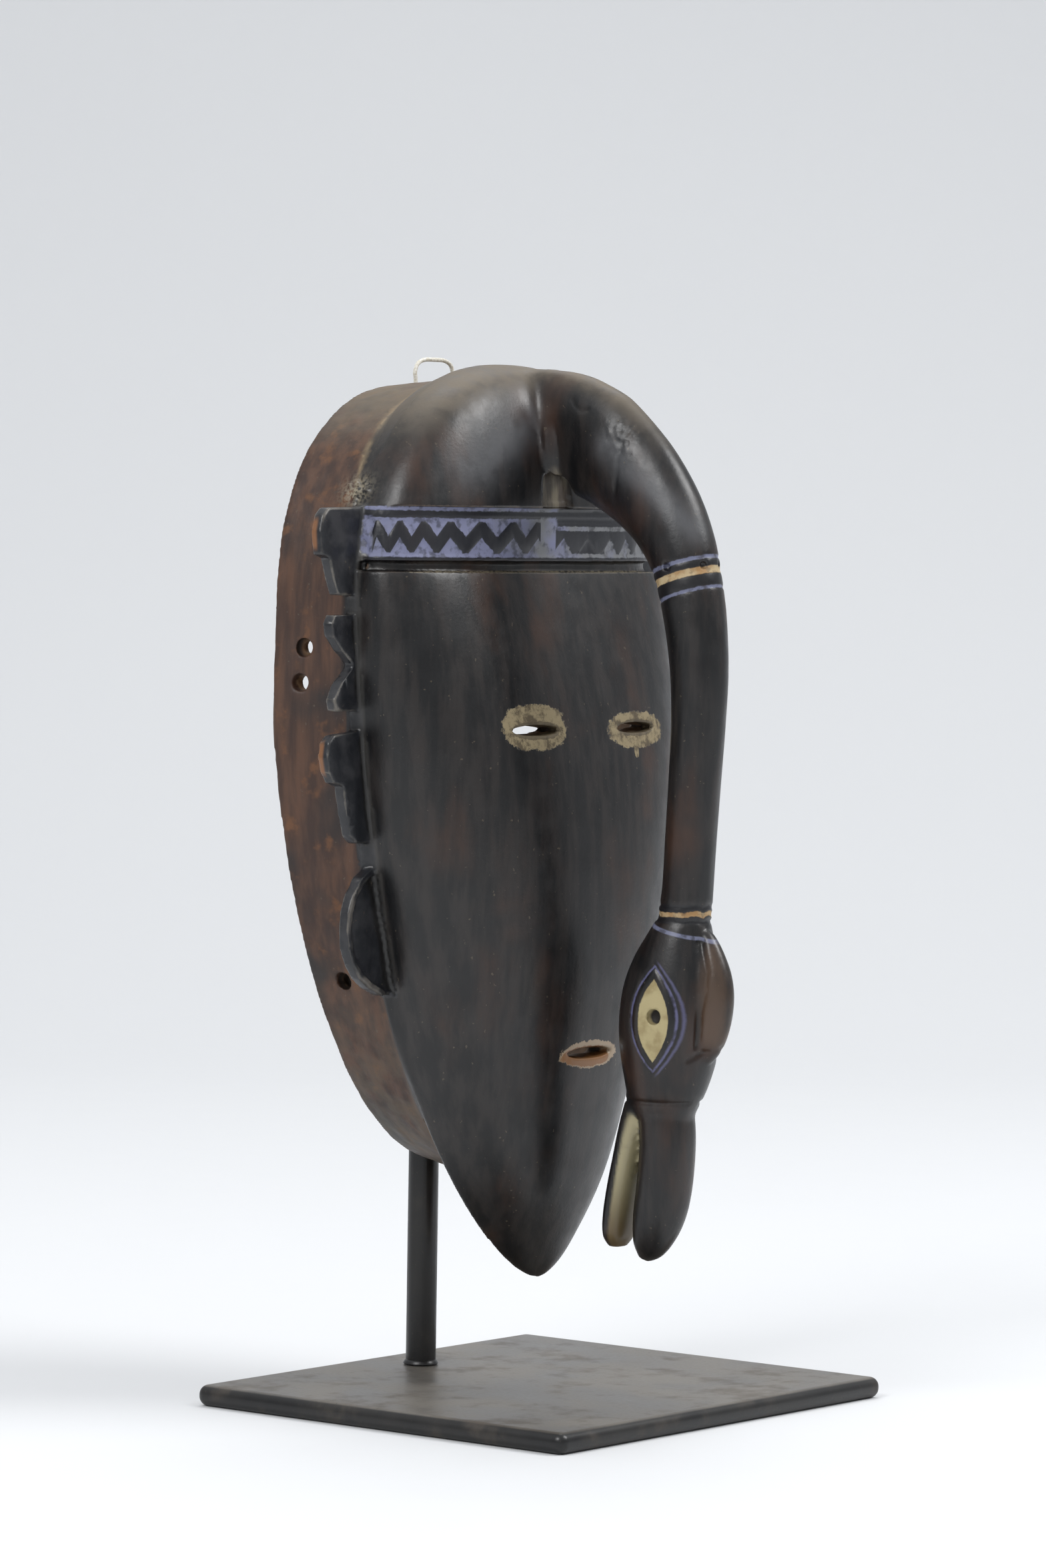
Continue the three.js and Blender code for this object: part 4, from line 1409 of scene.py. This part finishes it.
flank_at = times(ramp(wood.math("ABSOLUTE", wood.x), 8, 10), line(wood.z, 150, 24), neck_at)
eye_field = times(ramp(pointed_mask(EYE_PATCH), 1.05, 0.97), flank_at)
eye_line = times(line(pointed_mask(EYE_OVAL), 1.0, 0.05, 0.04), flank_at)
second = times(line(pointed_mask(EYE_OVAL), 1.25, 0.05, 0.05), ramp(wood.y, -61, -64))
clay_yellow = cover((0.30, 0.235, 0.11), (0.43, 0.36, 0.19), ramp(smears, 0.38, 0.6))
coat((0.10, 0.10, 0.19), eye_line, thin)
coat((0.10, 0.10, 0.19), second, flank_at, 0.7)
coat(clay_yellow, eye_field, 0.95)
# The pupil hole and a thin ring round it are painted almost black: painted shade in the hole.
pupil_y, pupil_z = less(wood.y, PUPIL[0]), less(wood.z, PUPIL[1])
from_pupil = wood.math("SQRT", add(times(pupil_y, pupil_y), times(pupil_z, pupil_z)))
coat((0.010, 0.007, 0.005), ramp(from_pupil, 3.1, 2.3), flank_at)
mouth_side = times(attribute("mouth_side"), ramp(smears, 0.2, 0.45, 0.6, 1))
beak_dirt = cover((0.33, 0.29, 0.17), (0.12, 0.085, 0.04), ramp(wood.z, 92, 66))
coat(beak_dirt, mouth_side)
casque_at = times(
    bird_at, ramp(wood.y, -74, -79), line(wood.z, 160, 20, 4), ramp(streaks, 0.35, 0.6)
)
coat((0.095, 0.058, 0.036), casque_at, 0.7)


# %% Paint: eyes and mouth of the face
def patch(x, z, wide, tall, square):
    """An uneven field of paint on the face: 1 inside, 0 outside."""
    across = wood.math("DIVIDE", wood.math("ABSOLUTE", less(wood.x, x)), wide)
    along = wood.math("DIVIDE", wood.math("ABSOLUTE", less(wood.z, z)), tall)
    spread = add(wood.math("POWER", across, square), wood.math("POWER", along, square), ragged)
    return ramp(spread, 1.08, 0.94)


ragged = times(less(noise(3.4, detail=6, rough=0.75, shift=37), 0.5), 1.5)
on_face = times(less(1.0, bird_at), ramp(wood.y, 2, -2), less(1.0, inside_part))
eye_patches = top_of(patch(-31, 257.1, 16.6, 8.4, 2.6), patch(30.4, 255.2, 19, 6.8, 2.3))
eye_patches = top_of(eye_patches, patch(28.7, 247.4, 1.6, 3.0, 2.0))
mottled = ramp(noise(4.5, detail=6, rough=0.7, shift=41), 0.38, 0.56)
dirty_ochre = cover((0.085, 0.062, 0.032), (0.27, 0.215, 0.12), mottled)
around_slit = top_of(patch(-30.4, 256, 13.5, 3.4, 2.0), patch(30.4, 256, 13.0, 3.2, 2.0))
dirty_ochre = cover(dirty_ochre, (0.060, 0.043, 0.022), times(around_slit, 0.75))
coat(dirty_ochre, eye_patches, on_face, 0.92)
lips = patch(-0.6, 133.8, 16.4, 5.2, 2.2)
lip_middle = patch(-1.6, 133.0, 14.4, 3.9, 2.2)
lip_colour = cover((0.40, 0.30, 0.20), (0.27, 0.125, 0.045), lip_middle)
coat(lip_colour, lips, on_face, 0.9)

# %% Wood: gloss and grain
paint_at = top_of(times(clay, thin), rings_ochre, eye_field, times(eye_patches, on_face))
gloss = ramp(smears, 0.3, 0.7, 0.26, 0.36)
gloss = add(gloss, times(collar_part, 0.2), times(dust, 0.25))
gloss = add(gloss, times(paint_at, 0.3), times(inside_part, 0.3))
gloss = add(gloss, times(speckle, 0.08), times(painted_sheen, 0.12))
coarse = add(0.12, times(collar_part, 0.5), times(inside_part, 0.5))
relief = add(times(grain, coarse), times(speckle, 0.22), times(paint_at, 0.3))
wood.finish(mask, gloss, relief, lift=0.22)
print("wood uses", len(wood.nodes), "nodes")

# %% [markdown]
# ## Blackened steel
# The stand is steel that was blackened and waxed. Handling has left grey-brown cloudy marks.
# The plate's flat top gets a pale painted sheen that stands for the reflection of the sheet, and
# its rounded edges stay darker. The rod has no painted sheen.

# %% Steel
SHEEN_PAINTED_FROM = 7.2
NO_SHEEN_PAINTED = 9000


def blackened_steel(name, piece, cloud, sheen_painted_above):
    steel = Recipe(name)
    clouds = steel.noise(28, detail=5)
    fine = steel.noise(1.6, detail=4, shift=9)
    brushed = steel.noise(3, stretch=(1, 0.15, 1), detail=4, shift=4)
    cloudy = steel.ramp(clouds, 0.35, 0.65)
    steel.colour = steel.cover((0.005, 0.005, 0.0055), (0.013, 0.012, 0.011), cloudy)
    # Painted reflection: the plate's flat top gets a pale sheen where the sheet would reflect in
    # it.
    sheen_painted = steel.cover((0.075, 0.068, 0.060), (0.140, 0.125, 0.105), cloudy)
    steel.coat(sheen_painted, steel.ramp(steel.z, sheen_painted_above, sheen_painted_above + 0.6))
    rust = steel.times(steel.ramp(steel.noise(17, detail=6, shift=15), 0.50, 0.75), cloud)
    steel.coat((0.085, 0.068, 0.052), rust, 0.7)
    steel.coat((0.03, 0.024, 0.02), steel.ramp(fine, 0.62, 0.72), 0.6)
    rough = steel.add(steel.ramp(clouds, 0.3, 0.7, 0.28, 0.38), steel.times(rust, 0.2))
    rough = steel.add(rough, steel.times(fine, 0.08))
    height = steel.add(steel.times(fine, 0.5), steel.times(brushed, 0.3))
    steel.finish(piece, rough, height, lift=0.05)


blackened_steel("blackened_plate", plate, 0.8, SHEEN_PAINTED_FROM)
blackened_steel("blackened_rod", rod, 0.25, NO_SHEEN_PAINTED)

# %% Loop's finish
line_finish = Recipe("pale_line")
strand = line_finish.noise(0.9, detail=3)
twist = line_finish.ramp(strand, 0.35, 0.65)
line_finish.colour = line_finish.cover((0.62, 0.58, 0.48), (0.80, 0.78, 0.72), twist)
rough = line_finish.ramp(strand, 0.3, 0.7, 0.6, 0.8)
line_finish.finish(loop, rough, strand, lift=0.3)

# %% [markdown]
# ## Floor and light
# The photograph was made on a seamless white sheet under large soft lights. The floor sweeps
# up behind the mask in one curve, so no horizon shows. One soft light hangs on the left and one
# on the right: with highlights painted into the wood's colour they give the pale sheens on the
# headdress.
# A third hangs behind the mask and lights the sheet.

# %% Floor
SHEET_WIDTH = 12
SHEET_LENGTH = 11
SHEET_NEAR = -4.5
SWEEP_START = 1.3
SWEEP_RADIUS = 1.5
SWEEP_PACE = 2.4
bpy.ops.mesh.primitive_grid_add(x_subdivisions=2, y_subdivisions=80, size=1)
floor = bpy.context.object
floor.name = "floor"
sheet = corners_of(floor)
run = SHEET_NEAR + (sheet[:, 1] + 0.5) * SHEET_LENGTH
bend = np.clip(run - SWEEP_START, 0, None)
turned = np.clip(bend / SWEEP_PACE, 0, np.pi / 2)
depth = np.minimum(run, SWEEP_START) + SWEEP_RADIUS * np.sin(turned)
lift = SWEEP_RADIUS * (1 - np.cos(turned)) + np.clip(bend - SWEEP_PACE * np.pi / 2, 0, None)
move_corners(floor, np.stack([sheet[:, 0] * SHEET_WIDTH, depth, lift], axis=1))
floor.rotation_euler = (0, 0, AZIMUTH)
bpy.ops.object.shade_smooth()
settle()
paper = Recipe("white_paper")
paper.colour = paper.cover((0.715, 0.725, 0.74), (0.74, 0.75, 0.76), paper.noise(900, detail=2))
paper.finish(floor, paper.ramp(paper.noise(40), 0.3, 0.7, 0.75, 0.85), 0.0, lift=0.1)


# %% Light
LIGHTS_AROUND = 0.3


def soft_light(name, azimuth, elevation, away, size, power):
    way = direction(math.radians(azimuth), math.radians(elevation))
    bpy.ops.object.light_add(type="AREA")
    lamp = bpy.context.object
    lamp.name = name
    lamp.data.shape = "DISK"
    lamp.data.size = size
    lamp.data.energy = power
    lamp.location = Vector((0, 0, LIGHTS_AROUND)) + way * away
    lamp.rotation_euler = way.to_track_quat("Z", "Y").to_euler()
    put_down()


soft_light("high_left", -88, 36, 2.0, 0.9, 19)
soft_light("front_right", 34, 44, 2.0, 1.0, 24)
soft_light("backdrop", 128, 62, 2.4, 1.8, 16)
SKY = (0.95, 0.97, 1.0, 1)
CEILING = {"From Min": 0.1, "From Max": 0.9, "To Min": 0.38, "To Max": 0.80}
world = bpy.data.worlds.new("studio")
bpy.context.scene.world = world
world.use_nodes = True
air = world.node_tree
sky = air.nodes["Background"]
sky.inputs["Color"].default_value = SKY
way_in = air.nodes.new("ShaderNodeTexCoord").outputs["Generated"]
height_in = air.nodes.new("ShaderNodeSeparateXYZ")
ceiling = air.nodes.new("ShaderNodeMapRange")
air.links.new(way_in, height_in.inputs[0])
air.links.new(height_in.outputs["Z"], ceiling.inputs[0])
air.links.new(ceiling.outputs[0], sky.inputs["Strength"])
for name, value in CEILING.items():
    ceiling.inputs[name].default_value = value
bpy.context.scene.view_settings.view_transform = "Standard"
